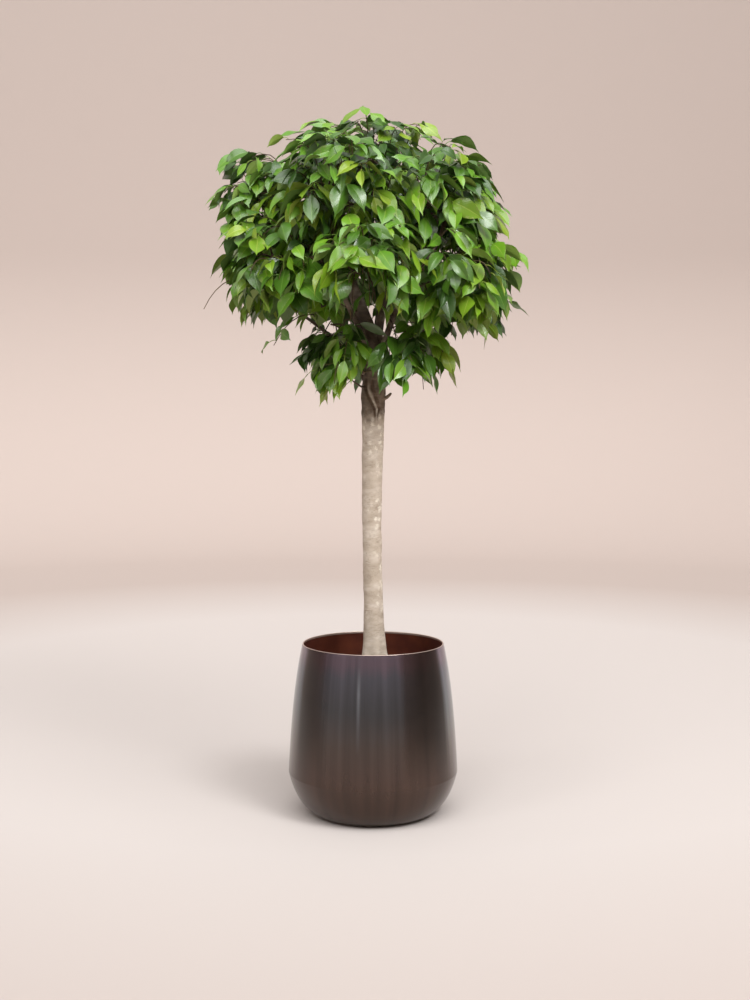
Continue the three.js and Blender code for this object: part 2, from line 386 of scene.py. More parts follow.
class HeadSettings(bpy.types.PropertyGroup):
    """How the head of leaves grows."""

    seed: IntProperty(name="Seed", description="Which head grows", default=42)
    leaf_length: FloatProperty(
        name="Leaf length", description="Length of a full-grown leaf", default=0.088, unit="LENGTH"
    )
    leaf_width: FloatProperty(name="Leaf width", description="A leaf's width over its length", default=0.53)
    petiole: FloatProperty(
        name="Petiole", description="Length of a leaf's stalk", default=0.014, unit="LENGTH"
    )
    spacing: FloatProperty(
        name="Spray spacing", description="Distance from spray to spray", default=0.050, unit="LENGTH"
    )
    inset: FloatProperty(
        name="Inset", description="Depth of a shoot's crest inside the skin", default=0.050, unit="LENGTH"
    )
    shoot: FloatProperty(
        name="Shoot length", description="Length of a leafy shoot", default=0.095, unit="LENGTH"
    )
    twig: FloatProperty(
        name="Twig radius", description="Radius of the thinnest twig", default=0.0011, unit="LENGTH"
    )


class StudioSettings(bpy.types.PropertyGroup):
    """Camera and lights."""

    distance: FloatProperty(name="Distance", description="Camera to stem", default=3.0, unit="LENGTH")
    height: FloatProperty(name="Height", description="Camera above the floor", default=0.907, unit="LENGTH")
    aside: FloatProperty(name="Aside", description="Camera right of the stem", default=0.0044, unit="LENGTH")
    tilt: FloatProperty(
        name="Tilt", description="How far the camera looks down", default=math.radians(3.9), subtype="ANGLE"
    )
    lens: FloatProperty(name="Lens", description="Focal length in millimetres", default=48.6)
    # The paper's colours paint a pool of light under the plant and a deeper shade further off.
    backdrop: FloatVectorProperty(
        name="Backdrop", description="Paper far from the plant", default=linear("#b7aaa3"), subtype="COLOR"
    )
    paper: FloatVectorProperty(
        name="Paper", description="Paper under the plant", default=linear("#c9c2be"), subtype="COLOR"
    )


# ---- Planter and soil ----
def wall_line(settings, inset):
    """Radii and heights of the planter's wall from its foot to its rim, set inwards by inset.

    The bottom is part of a quarter of an ellipse that stops short of upright at a crease. The side is a
    quadratic Bezier curve from there that closes in to the rim.
    """
    height, belly = PLANTER_HIGH[2], PLANTER_HIGH[0]
    middle = settings.crease_height / (1 - math.sin(settings.corner_end))
    reach = (belly - settings.foot_radius) / math.cos(settings.corner_end)
    angle = np.linspace(-math.pi / 2, -settings.corner_end, BOTTOM_POINTS)
    corner_radii = settings.foot_radius + (reach - inset) * np.cos(angle)
    corner_heights = middle + (middle - inset) * np.sin(angle)
    t = np.linspace(0, 1, SIDE_POINTS)[1:]
    rise = settings.shoulder * (height - corner_heights[-1])
    turn_radius = corner_radii[-1] - settings.lean * rise
    turn_height = corner_heights[-1] + rise
    side_radii = (1 - t) ** 2 * corner_radii[-1] + 2 * t * (1 - t) * turn_radius
    side_radii = side_radii + t * t * (settings.rim_radius - inset)
    side_heights = (1 - t) ** 2 * corner_heights[-1] + 2 * t * (1 - t) * turn_height + t * t * height
    return np.concatenate([corner_radii, side_radii]), np.concatenate([corner_heights, side_heights])


def reflection_bands(tree, across):
    """A tint by place across the front, made of painted reflections of the room: dark bands beside the
    front, and pale bands of the bright backdrop at the sides."""
    return add(
        tree,
        "ShaderNodeValToRGB",
        {"Fac": across},
        stops=[
            (0.035, linear("#f4fafd")),
            (0.06, linear("#77695e")),
            (0.17, linear("#857770")),
            (0.21, linear("#b7b3b4")),
            (0.37, linear("#bfbcbd")),
            (0.45, linear("#bcb9ba")),
            (0.66, linear("#bab6b7")),
            (0.71, linear("#887a74")),
            (0.81, linear("#65554a")),
            (0.93, linear("#62534a")),
            (0.955, linear("#f4fafd")),
        ],
    ).outputs["Color"]


def painted_highlight_streak(tree, bearing_x, level):
    """How strongly one painted highlight shows: a pale streak down the upper half, a little left of the
    front.
    """
    line = add(
        tree,
        "ShaderNodeValToRGB",
        {"Fac": add(tree, "ShaderNodeMapRange", {"Value": bearing_x, "From Min": -1.0}).outputs[0]},
        stops=[(0.398, (0, 0, 0)), (0.408, (1, 1, 1)), (0.414, (1, 1, 1)), (0.426, (0, 0, 0))],
    ).outputs["Color"]
    span = add(
        tree,
        "ShaderNodeValToRGB",
        {"Fac": level},
        stops=[(0.50, (0, 0, 0)), (0.66, (0.3, 0.3, 0.3)), (0.84, (1, 1, 1)), (0.99, (0.1, 0.1, 0.1))],
    ).outputs["Color"]
    highlight_strength = add(tree, "ShaderNodeMath", {0: line, 1: span}, operation="MULTIPLY").outputs[0]
    return add(tree, "ShaderNodeMath", {0: highlight_strength, 1: 0.42}, operation="MULTIPLY").outputs[0]


def lacquered_metal(settings):
    """Spun steel, heat coloured and lacquered, with a clear gloss over all of it. Its colour rises from
    brown low down to slate blue and plum under the rim, partly the lacquer's own tint and partly a painted
    reflection of the floor below and the brighter room above, and painted reflections of the room lie over
    it in upright bands, their edges wavering with the wiping streaks."""
    material, tree, shader = new_material("lacquered_metal")
    place = add(tree, "ShaderNodeTexCoord").outputs["Object"]
    flat = add(tree, "ShaderNodeVectorMath", {0: place, 1: (1, 1, 0)}, operation="MULTIPLY").outputs[0]
    bearing = add(tree, "ShaderNodeVectorMath", {0: flat}, operation="NORMALIZE").outputs[0]
    # Wiping streaks are 10 to 40 mm wide and run nearly the whole height.
    streak_place = add(
        tree, "ShaderNodeVectorMath", {0: bearing, 1: (9, 9, 9), 2: place}, operation="MULTIPLY_ADD"
    ).outputs[0]
    streaks = add(
        tree,
        "ShaderNodeTexNoise",
        {"Vector": streak_place, "Scale": 1.0, "Detail": 5.0, "Roughness": 0.6},
    ).outputs["Fac"]
    height = add(tree, "ShaderNodeSeparateXYZ", {0: place}).outputs["Z"]
    level = add(tree, "ShaderNodeMapRange", {"Value": height, "From Max": float(PLANTER_HIGH[2])}).outputs[0]
    level = add(tree, "ShaderNodeMath", {0: streaks, 1: 0.12, 2: level}, operation="MULTIPLY_ADD").outputs[0]
    # Partly painted reflection: brown low down, where the floor is mirrored, to slate blue under the rim,
    # where the brighter room is, over the lacquer's own tint.
    film_and_room_reflection = add(
        tree,
        "ShaderNodeValToRGB",
        {"Fac": level},
        stops=[
            (0.06, linear("#3a2d24")),
            (0.36, tuple(settings.lacquer)),
            (0.54, linear("#48413d")),
            (0.74, linear("#444648")),
            (0.93, linear("#4d4f56")),
            (1.0, linear("#5a5059")),
        ],
    ).outputs["Color"]
    # The streaks make the bands' edges waver by up to 0.16 of the radius.
    bearing_x = add(tree, "ShaderNodeSeparateXYZ", {0: bearing}).outputs["X"]
    across = add(
        tree, "ShaderNodeMath", {0: streaks, 1: 0.16, 2: bearing_x}, operation="MULTIPLY_ADD"
    ).outputs[0]
    across = add(
        tree, "ShaderNodeMapRange", {"Value": across, "From Min": -0.92, "From Max": 1.08}
    ).outputs[0]
    # The painted reflection bands fade downwards, and under the crease the lacquer is one even brown.
    crease = settings.crease_height
    side = add(
        tree, "ShaderNodeMapRange", {"Value": height, "From Min": crease - 0.004, "From Max": crease + 0.11}
    ).outputs[0]
    # Painted reflections: upright dark and pale bands mirrored from the room.
    reflection_tint = add(
        tree,
        "ShaderNodeMix",
        {"Factor": side, "A": (*linear("#b3a59b"), 1), "B": reflection_bands(tree, across)},
        data_type="RGBA",
    ).outputs["Result"]
    colour = add(tree, "ShaderNodeVectorMath", {0: film_and_room_reflection, 1: reflection_tint}, operation="MULTIPLY").outputs[0]
    tone = add(tree, "ShaderNodeMapRange", {"Value": streaks, "To Min": 0.9, "To Max": 3.4}).outputs[0]
    colour = add(tree, "ShaderNodeVectorMath", {0: colour, "Scale": tone}, operation="SCALE").outputs[0]
    # Painted highlight: the pale bluish streak down the upper half.
    colour = add(
        tree,
        "ShaderNodeMix",
        {"Factor": painted_highlight_streak(tree, bearing_x, level), "A": colour, "B": (*linear("#9aa0a8"), 1)},
        data_type="RGBA",
    ).outputs["Result"]
    tree.links.new(colour, shader.inputs["Base Color"])
    shader.inputs["Metallic"].default_value = 0.6
    shader.inputs["Roughness"].default_value = 0.22
    shader.inputs["Specular IOR Level"].default_value = 0.35
    shader.inputs["Coat Weight"].default_value = 0.3
    shader.inputs["Coat Roughness"].default_value = 0.05
    return material


def pale_rim():
    """The rim's turned edge, in pale, slightly pink metal."""
    material, _, shader = new_material("pale_rim")
    shader.inputs["Base Color"].default_value = (*linear("#c6b3a8"), 1)
    shader.inputs["Metallic"].default_value = 0.7
    shader.inputs["Roughness"].default_value = 0.35
    return material


def rust_lining(settings):
    """The planter's raw inside: a red oxide primer, dull and slightly patchy."""
    material, tree, shader = new_material("rust_lining")
    place = add(tree, "ShaderNodeTexCoord").outputs["Object"]
    patches = add(tree, "ShaderNodeTexNoise", {"Vector": place, "Scale": 24.0, "Detail": 5.0})
    colour = add(
        tree,
        "ShaderNodeValToRGB",
        {"Fac": patches.outputs["Fac"]},
        stops=[(0.3, linear("#43180d")), (0.7, tuple(settings.lining))],
    )
    tree.links.new(colour.outputs["Color"], shader.inputs["Base Color"])
    shader.inputs["Roughness"].default_value = 0.55
    return material


class FIG_OT_planter(bpy.types.Operator):
    """Turns the planter's spun wall, with a rounded rim, and lacquers it."""

    bl_idname = "fig.planter"
    bl_label = "Planter"

    def execute(self, context):
        settings = context.scene.fig_planter
        outer_radii, outer_heights = wall_line(settings, 0.0)
        inner_radii, inner_heights = wall_line(settings, settings.wall)
        # The rim is half a circle over the wall's thickness.
        lip = settings.wall / 2
        angle = np.linspace(0, math.pi, 9)
        lip_radii = settings.rim_radius - lip + lip * np.cos(angle)
        lip_heights = PLANTER_HIGH[2] - lip + lip * np.sin(angle)
        below = outer_heights < PLANTER_HIGH[2] - lip
        within = inner_heights < PLANTER_HIGH[2] - lip
        radii = np.concatenate([outer_radii[below], lip_radii, inner_radii[within][::-1]])
        heights = np.concatenate([outer_heights[below], lip_heights, inner_heights[within][::-1]])
        sides = 160
        points, quads, tris = lathe(radii, heights, sides)
        quads, tris = outward(points, quads, tris)
        # Lacquer outside and on the foot, pale metal round the lip, and primer inside.
        row = np.arange(len(quads)) // sides
        lip_start = below.sum() + 1
        slots = np.where(row < lip_start, 0, np.where(row < lip_start + len(lip_radii) - 1, 2, 1))
        slots = np.concatenate([slots, np.repeat([0, 1], sides)])
        crease = np.arange(len(points)) // sides == BOTTOM_POINTS - 1
        materials = [lacquered_metal(settings), rust_lining(settings), pale_rim()]
        piece = make_piece("planter_shell", points, quads, tris, materials, slots, sharp=crease)
        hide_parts("planter")
        return {"FINISHED"}


def moist_compost(settings):
    """Peat and bark fines: nearly black where wet, brown where the crumbs have dried, with no gloss."""
    material, tree, shader = new_material("moist_compost")
    place = add(tree, "ShaderNodeTexCoord").outputs["Object"]
    # Crumbs of 3 to 6 mm.
    crumbs = add(tree, "ShaderNodeTexVoronoi", {"Vector": place, "Scale": 210.0})
    damp = add(tree, "ShaderNodeTexNoise", {"Vector": place, "Scale": 60.0, "Detail": 6.0, "Roughness": 0.7})
    colour = add(
        tree,
        "ShaderNodeValToRGB",
        {"Fac": damp.outputs["Fac"]},
        stops=[(0.3, linear("#17100b")), (0.55, tuple(settings.compost)), (0.8, linear("#5a4230"))],
    )
    tree.links.new(colour.outputs["Color"], shader.inputs["Base Color"])
    bump = add(
        tree, "ShaderNodeBump", {"Height": crumbs.outputs["Distance"], "Strength": 0.6, "Distance": 0.002}
    )
    tree.links.new(bump.outputs[0], shader.inputs["Normal"])
    shader.inputs["Roughness"].default_value = 0.9
    return material


def dry_bark():
    """Broken bark: matt brown, darker where it is damp."""
    material, tree, shader = new_material("bark_crumbs")
    place = add(tree, "ShaderNodeTexCoord").outputs["Object"]
    grain = add(tree, "ShaderNodeTexNoise", {"Vector": place, "Scale": 90.0, "Detail": 4.0})
    colour = add(
        tree,
        "ShaderNodeValToRGB",
        {"Fac": grain.outputs["Fac"]},
        stops=[(0.35, linear("#24170f")), (0.65, linear("#6b4a33"))],
    )
    tree.links.new(colour.outputs["Color"], shader.inputs["Base Color"])
    shader.inputs["Roughness"].default_value = 0.85
    return material


class FIG_OT_soil(bpy.types.Operator):
    """Lays the compost: a lumpy disc heaped a little towards the stem, with bark crumbs scattered on it."""

    bl_idname = "fig.soil"
    bl_label = "Soil"

    def execute(self, context):
        settings = context.scene.fig_planter
        # The compost stops 0.6 mm short of the wall.
        radii, heights = wall_line(settings, settings.wall + 0.0006)
        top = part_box("soil")[1][2]
        heap = 0.005
        wall_radius = np.interp(top - heap, heights, radii)
        below = heights < top - heap
        # Height over the disc: a cosine heap towards the middle plus two sizes of lump, all sunk by as much
        # as the lumps rise and level at the wall.
        spread = np.linspace(1, 0.02, 90)
        radii = np.concatenate([radii[below], wall_radius * spread])
        heights = np.concatenate([heights[below], top - heap + heap * np.cos(spread * math.pi / 2)])
        sides = 180
        points, quads, tris = lathe(radii, heights, sides)
        on_top = points[:, 2] > top - heap - 1e-6
        lumps = 0.0022 * noise(points / 0.012, 3) + 0.0013 * noise(points / 0.005, 4)
        sunk = 0.0034
        edge = np.clip((wall_radius - np.hypot(points[:, 0], points[:, 1])) / 0.006, 0, 1)
        points[:, 2] += np.where(on_top, (lumps - sunk) * edge, 0)
        quads, tris = outward(points, quads, tris)
        piece = make_piece("compost", points, quads, tris, [moist_compost(settings)])
        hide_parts("soil")
        self.scatter(top, heap, wall_radius)
        return {"FINISHED"}

    def scatter(self, top, heap, wall_radius):
        """Bark crumbs: flattened balls of 36 faces, 5 to 22 mm long, each dented and turned its own way."""
        draw = np.random.default_rng(31)
        count = 420
        away = np.sqrt(draw.uniform(0.09, 0.92, count)) * wall_radius
        bearing = draw.uniform(0, TURN, count)
        size = draw.uniform(0.0035, 0.0085, (count, 1))
        size = size * draw.uniform((0.7, 0.35, 0.2), (1.3, 0.8, 0.45), (count, 3))
        rows, sides, cap = 5, 6, 0.12
        polar, round_way = np.meshgrid(
            np.linspace(cap, math.pi - cap, rows), np.arange(sides) * TURN / sides, indexing="ij"
        )
        ball = np.stack(
            [np.cos(polar), np.sin(polar) * np.cos(round_way), np.sin(polar) * np.sin(round_way)], -1
        )
        shape = ball[None] * size[:, None, None] * draw.uniform(0.75, 1.25, (count, rows, sides, 1))
        turn, lean = draw.uniform(0, TURN, (count, 1, 1)), draw.normal(0, 0.35, (count, 1, 1))
        x, y, z = shape[..., 0], shape[..., 1], shape[..., 2]
        x, z = x * np.cos(lean) - z * np.sin(lean), x * np.sin(lean) + z * np.cos(lean)
        x, y = x * np.cos(turn) - y * np.sin(turn), x * np.sin(turn) + y * np.cos(turn)
        surface = top - heap + heap * np.cos(away / wall_radius * math.pi / 2)
        rest = np.stack([away * np.cos(bearing), away * np.sin(bearing), surface - 0.0008], -1)
        crumbs = np.stack([x, y, z], -1) + rest[:, None, None]
        parts = [closed_tube(crumb) for crumb in crumbs]
        piece = make_piece("bark_crumbs", *joined(parts), [dry_bark()])


# ---- Bark ----
def bark_flecks(tree, place, axes, grain):
    """How strongly pale ragged flecks about 6 mm across show, which crowd on the right of the stem's upper
    half."""
    ragged = add(
        tree,
        "ShaderNodeVectorMath",
        {0: grain.outputs["Color"], 1: (0.016, 0.016, 0.016), 2: place},
        operation="MULTIPLY_ADD",
    ).outputs[0]
    flecks = add(tree, "ShaderNodeTexVoronoi", {"Vector": ragged, "Scale": 72.0}, feature="F1")
    fleck = add(
        tree,
        "ShaderNodeMapRange",
        {"Value": flecks.outputs["Distance"], "From Min": 0.44, "From Max": 0.26, "To Max": 0.8},
    ).outputs[0]
    where = add(tree, "ShaderNodeTexNoise", {"Vector": place, "Scale": 18.0, "Detail": 2.0}).outputs["Fac"]
    where = add(
        tree, "ShaderNodeMath", {0: axes.outputs["X"], 1: 4.0, 2: where}, operation="MULTIPLY_ADD"
    ).outputs[0]
    upper = add(
        tree,
        "ShaderNodeMapRange",
        {"Value": axes.outputs["Z"], "From Min": 0.52, "From Max": 0.68, "To Max": 0.13},
    ).outputs[0]
    where = add(tree, "ShaderNodeMath", {0: where, 1: upper}).outputs[0]
    some = add(tree, "ShaderNodeMapRange", {"Value": where, "From Min": 0.54, "From Max": 0.68}).outputs[0]
    return add(tree, "ShaderNodeMath", {0: fleck, 1: some}, operation="MULTIPLY").outputs[0]


def bark_pits(tree, squashed, clouds, pore):
    """How strongly dark pits of about 1 mm show, in some places only, and the cross pores with them."""
    pits = add(tree, "ShaderNodeTexVoronoi", {"Vector": squashed, "Scale": 210.0}, feature="F1")
    pit = add(
        tree, "ShaderNodeMapRange", {"Value": pits.outputs["Distance"], "From Min": 0.24, "From Max": 0.12}
    ).outputs[0]
    few = add(
        tree, "ShaderNodeMapRange", {"Value": clouds.outputs["Fac"], "From Min": 0.56, "From Max": 0.42}
    ).outputs[0]
    pit = add(tree, "ShaderNodeMath", {0: pit, 1: few}, operation="MULTIPLY").outputs[0]
    pit = add(tree, "ShaderNodeMath", {0: pit, 1: pore}, operation="MAXIMUM").outputs[0]
    return add(tree, "ShaderNodeMath", {0: pit, 1: 0.7}, operation="MULTIPLY").outputs[0]


def fig_bark():
    """Weeping fig bark: smooth, pale and dull, crossed by short raised pores, with small dark pits and pale
    flecks, and dark brown where it is young or was wounded. Reads the attributes stain and pore."""
    bark = bpy.context.scene.fig_bark
    material, tree, shader = new_material("fig_bark")
    place = add(tree, "ShaderNodeTexCoord").outputs["Object"]
    stain = add(tree, "ShaderNodeAttribute", attribute_name="stain").outputs["Fac"]
    pore = add(tree, "ShaderNodeAttribute", attribute_name="pore").outputs["Fac"]
    axes = add(tree, "ShaderNodeSeparateXYZ", {0: place})
    squashed = add(tree, "ShaderNodeMapping", {"Vector": place, "Scale": (1, 1, 2.4)}).outputs[0]
    clouds = add(
        tree, "ShaderNodeTexNoise", {"Vector": squashed, "Scale": 26.0, "Detail": 5.0, "Roughness": 0.6}
    )
    grain = add(tree, "ShaderNodeTexNoise", {"Vector": squashed, "Scale": 240.0, "Detail": 3.0})
    pale = add(
        tree,
        "ShaderNodeValToRGB",
        {"Fac": clouds.outputs["Fac"]},
        stops=[(0.3, linear("#a89b8b")), (0.5, tuple(bark.pale)), (0.72, linear("#cbc1b4"))],
    )
    fleck = bark_flecks(tree, place, axes, grain)
    pit = bark_pits(tree, squashed, clouds, pore)
    flecked = add(
        tree,
        "ShaderNodeMix",
        {"Factor": fleck, "A": pale.outputs["Color"], "B": (*linear("#e6dfd0"), 1)},
        data_type="RGBA",
    ).outputs["Result"]
    pitted = add(
        tree,
        "ShaderNodeMix",
        {"Factor": pit, "A": flecked, "B": (*linear("#6f604f"), 1)},
        data_type="RGBA",
    ).outputs["Result"]
    dark = add(
        tree,
        "ShaderNodeValToRGB",
        {"Fac": clouds.outputs["Fac"]},
        stops=[(0.32, linear("#33261c")), (0.55, tuple(bark.dark)), (0.75, linear("#8f7d6c"))],
    )
    colour = add(
        tree,
        "ShaderNodeMix",
        {"Factor": stain, "A": pitted, "B": dark.outputs["Color"]},
        data_type="RGBA",
    ).outputs["Result"]
    # Painted light and shade: the bark is lighter on the right, where the light falls, and darker on the
    # left.
    painted_side_light = add(
        tree,
        "ShaderNodeMapRange",
        {"Value": axes.outputs["X"], "From Min": -0.02, "From Max": 0.02, "To Min": 0.88, "To Max": 1.09},
    ).outputs[0]
    colour = add(tree, "ShaderNodeVectorMath", {0: colour, "Scale": painted_side_light}, operation="SCALE").outputs[0]
    tree.links.new(colour, shader.inputs["Base Color"])
    bump = add(tree, "ShaderNodeBump", {"Height": grain.outputs["Fac"], "Strength": 0.5, "Distance": 0.0008})
    tree.links.new(bump.outputs[0], shader.inputs["Normal"])
    shader.inputs["Roughness"].default_value = 0.78
    return material


def stem_centre(height):
    """The stem's middle at a height: one slow turn with a 2.6 mm sway."""
    t = (height - SOIL_TOP) / (FORK - SOIL_TOP)
    return np.stack([0.0026 * np.cos(TURN * t), 0.0026 * np.sin(0.7 * TURN * t), height], -1)


def stem_radius(bark, height, angle):
    """The stem's radius: a waist, a lobed flare that fades upwards and a swelling round the pruning knot."""
    flare = bark.flare * np.exp((SOIL_TOP - height) / bark.flare_reach) * (1 + 0.28 * np.cos(5 * angle))
    above = height - bark.knot_height
    fade = np.where(above < 0, np.exp(np.minimum(above, 0) / 0.150), np.exp(-((above / 0.050) ** 2)))
    return bark.waist + flare + bark.knot * fade


def cross_pores(around, along, seed):
    """Short raised cross lines, from 0 to 1: the peaks of noise stretched 4 to 1 round the limb."""
    lines = noise(np.stack([around / 0.0045, along / 0.0013, np.zeros_like(along)], -1), seed)
    rarely = noise(np.stack([around / 0.02, along / 0.02, np.zeros_like(along)], -1), seed + 1)
    return np.clip((lines - 0.42) * 3.5, 0, 1) * np.clip(rarely + 0.55, 0, 1)


class FIG_OT_stem(bpy.types.Operator):
    """Lays the stem's bark: a grid round its angle and up its height, with relief added to the radius."""

    bl_idname = "fig.stem"
    bl_label = "Stem"

    def execute(self, context):
        bark = context.scene.fig_bark
        sides, rows = 104, 560
        angle = np.arange(sides) * TURN / sides
        height, angle = np.meshgrid(np.linspace(SOIL_TOP - 0.003, FORK, rows), angle, indexing="ij")
        # The bark's pattern is worked out on a plain cylinder of about the stem's own radius.
        core = 0.02
        place = np.stack([np.cos(angle) * core, np.sin(angle) * core, height], -1)
        pores = cross_pores(angle * core, height, 11)
        lumps = 0.0011 * noise(place / 0.032, 12) + 0.0004 * noise(place / 0.009, 13)
        wounded = self.wound(place, height)
        rough = 0.0020 * noise(place / np.array([0.006, 0.006, 0.016]), 15)
        scar, fissure = self.scar(height, angle)
        radius = stem_radius(bark, np.maximum(height, SOIL_TOP), angle)
        radius = radius + lumps + 0.00035 * pores * (1 - wounded) + rough * wounded
        radius = radius + 0.0020 * scar - 0.0028 * fissure
        # The top rounds over into the boughs' feet.
        radius = radius * np.sqrt(np.clip((FORK + 0.0004 - height) / 0.014, 0, 1)) ** 0.5
        rings = stem_centre(height) + direction(angle) * radius[..., None]
        parts = [closed_tube(rings)] + self.stubs()
        stain = np.clip(wounded * 0.85 + fissure * 0.9 - scar * 0.75, 0, 1)
        # The stem's two end points and the snags come after its rings, all dark and without pores.
        extra = sum(len(points) for points, _, _ in parts[1:]) + 2
        attributes = {
            "stain": np.concatenate([stain.ravel(), np.full(extra, 0.9)]),
            "pore": np.concatenate([(pores * 0.55).ravel(), np.zeros(extra)]),
        }
        piece = make_piece("stem_bark", *joined(parts), [fig_bark()], attributes=attributes)
        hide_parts("stem")
        return {"FINISHED"}

    def wound(self, place, height):
        """How rough and dark the bark is, from 0 to 1: fully so above a ragged edge a hand's width below the
        fork, which slants down to the left."""
        edge, slant = 0.889, 0.30
        ragged = 0.010 * noise(place / np.array([0.011, 0.011, 0.02]), 14) + 0.006 * noise(place / 0.005, 16)
        return step_up(height + ragged - slant * place[..., 0] - edge, 0.0048)

    def scar(self, height, angle):
        """A pale scar at the front and the two dark fissures beside it, each from 0 to 1.

        The scar is a ridge that runs down and to the right from 0.958 m to 0.900 m. The fissures keep to its
        sides, go a little further both ways and meet under it.
        """
        front = (angle - 1.5 * math.pi + math.pi) % TURN - math.pi
        down = np.clip((0.950 - height) / 0.045, 0, 1)
        ridge = front * 0.024 + 0.011 - 0.018 * down
        scar = np.exp(-((ridge / 0.0028) ** 2))
        scar = scar * step_up(height - 0.900, 0.003) * step_up(0.958 - height, 0.004)
        apart = 0.0030 + 0.0050 * np.clip((height - 0.890) / 0.050, 0, 1)
        fissure = np.exp(-(((np.abs(ridge) - apart) / 0.0024) ** 2))
        fissure = fissure * step_up(height - 0.884, 0.004) * step_up(0.962 - height, 0.004)
        return scar, fissure

    def stubs(self):
        """The snags on the knot: tubes with a wide foot and a rounded end, rough all over."""
        steps, sides = 14, 12
        t = np.linspace(0, 1, steps)
        parts = []
        for number, (bearing, height, reach, rise, foot) in enumerate(STUBS):
            path = stub_path(bearing, height, reach, rise, steps)
            radii = foot * (1.5 - 0.5 * np.clip(t * 4, 0, 1) - 0.35 * t)
            radii[-2:] *= np.array([0.9, 0.5])
            place = np.stack([path * 160] * sides, 1) + np.arange(sides)[None, :, None]
            relief = 0.12 * foot * noise(place, number)
            parts.append(closed_tube(sweep(path, radii, sides, relief)))
        return parts


def stub_path(bearing, height, reach, rise, count):
    """A short snag's middle line: out along its bearing and up as the square of the way out."""
    t = np.linspace(0, 1, count)
    # It starts inside the stem's bark.
    out = 0.016 + reach * t
    base = stem_centre(np.array(height))
    angle = math.radians(bearing)
    return base + np.stack([math.cos(angle) * out, math.sin(angle) * out, rise * t * t + 0.004 * t], -1)


def bough_path(name, count):
    """A bough's middle line: straight up its rise, and outwards as its reach times t to the power 1.7."""
    bearing, radius, foot, reach, rise = BOUGHS[name]
    angle = math.radians(bearing)
    t = np.linspace(0, 1, count)
    start = max(0.0, bpy.context.scene.fig_bark.waist - radius - 0.002)
    out = start * (1 - t) + reach * t**1.7
    base = stem_centre(np.array(foot))
    return base + np.stack([np.cos(angle) * out, np.sin(angle) * out, rise * t], -1)


def bough_radius(name, t):
    """A bough tapers evenly to 0.42 of its foot radius."""
    return BOUGHS[name][1] * (1 - 0.58 * t)


class FIG_OT_boughs(bpy.types.Operator):
    """Lays the boughs' bark: tubes with a flared collar, slow bends and the same pores as the stem."""

    bl_idname = "fig.boughs"
    bl_label = "Boughs"

    def execute(self, context):
        material = bpy.data.materials.get("fig_bark") or fig_bark()
        rows, sides = 170, 40
        t, still = np.linspace(0, 1, rows), np.zeros(rows)
        angle = np.arange(sides) * TURN / sides
        for seed, name in enumerate(BOUGHS):
            path = bough_path(name, rows)
            foot = BOUGHS[name][1]
            sway = noise(np.stack([path[:, 2] / 0.07, still + seed, still], -1), seed)
            other = noise(np.stack([path[:, 2] / 0.06, still - seed, still], -1), seed + 40)
            path = path + np.stack([sway, other, still], -1) * 0.004 * np.clip(t * 6, 0, 1)[:, None]
            length = np.concatenate([[0], np.cumsum(np.linalg.norm(np.diff(path, axis=0), axis=1))])
            collar = 1 + 0.25 * np.exp(-length / 0.022)
            radii = bough_radius(name, t) * collar
            radii[-4:] *= np.array([0.95, 0.8, 0.55, 0.2])
            along, round_way = np.meshgrid(length, angle, indexing="ij")
            ring = np.stack([np.cos(round_way) * foot, np.sin(round_way) * foot, along + seed], -1)
            pores = cross_pores(round_way * foot, along, 60 + seed)
            relief = foot * 0.07 * noise(ring / (foot * 1.4), 61) + 0.0003 * pores
            relief = relief + foot * 0.03 * noise(ring / np.array([0.003, 0.003, 0.012]), 62)
            rings = sweep(path, radii, sides, relief * (radii / radii[0])[:, None])
            points, quads, tris = closed_tube(rings)
            stain = np.clip(0.85 + 0.3 * noise(ring / 0.02, 63), 0, 1)
            attributes = {
                "stain": np.concatenate([stain.ravel(), np.ones(2)]),
                "pore": np.concatenate([pores.ravel() * 0.5, np.zeros(2)]),
            }
            piece = make_piece(name + "_bark", points, quads, tris, [material], attributes=attributes)
            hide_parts(name)
        return {"FINISHED"}


# ---- Where the sprays grow ----
def triangles_of(node):
    """Corner points (count, 3, 3) of a CAD node's triangles."""
    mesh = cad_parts[node].data
    mesh.calc_loop_triangles()
    points = np.empty(len(mesh.vertices) * 3)
    mesh.vertices.foreach_get("co", points)
    corners = np.empty(len(mesh.loop_triangles) * 3, np.int32)
    mesh.loop_triangles.foreach_get("vertices", corners)
    return points.reshape(-1, 3)[corners.reshape(-1, 3)]


def skin_points(draw, triangles, share, density):
    """Points drawn by area on a mass's skin, shrunk to a share of its size, and the skin's normals there."""
    middle = triangles.reshape(-1, 3).mean(0)
    triangles = middle + (triangles - middle) * share
    across = np.cross(triangles[:, 1] - triangles[:, 0], triangles[:, 2] - triangles[:, 0])
    area = np.linalg.norm(across, axis=1) / 2
    count = int(area.sum() * density)
    pick = draw.choice(len(triangles), count, p=area / area.sum())
    a, b = draw.random((2, count, 1))
    over = a + b > 1
    a, b = np.where(over, 1 - a, a), np.where(over, 1 - b, b)
    t = triangles[pick]
    return t[:, 0] + a * (t[:, 1] - t[:, 0]) + b * (t[:, 2] - t[:, 0]), unit(across[pick])


def mass_shapes():
    """Each mass's triangles, the corners of its box and a search tree of its faces."""
    meshes = [triangles_of(node) for node in MASSES]
    boxes = [(t.reshape(-1, 3).min(0), t.reshape(-1, 3).max(0)) for t in meshes]
    trees = []
    for triangles in meshes:
        corners = triangles.reshape(-1, 3)
        faces = np.arange(len(corners)).reshape(-1, 3)
        trees.append(BVHTree.FromPolygons(corners.tolist(), faces.tolist()))
    return meshes, boxes, trees


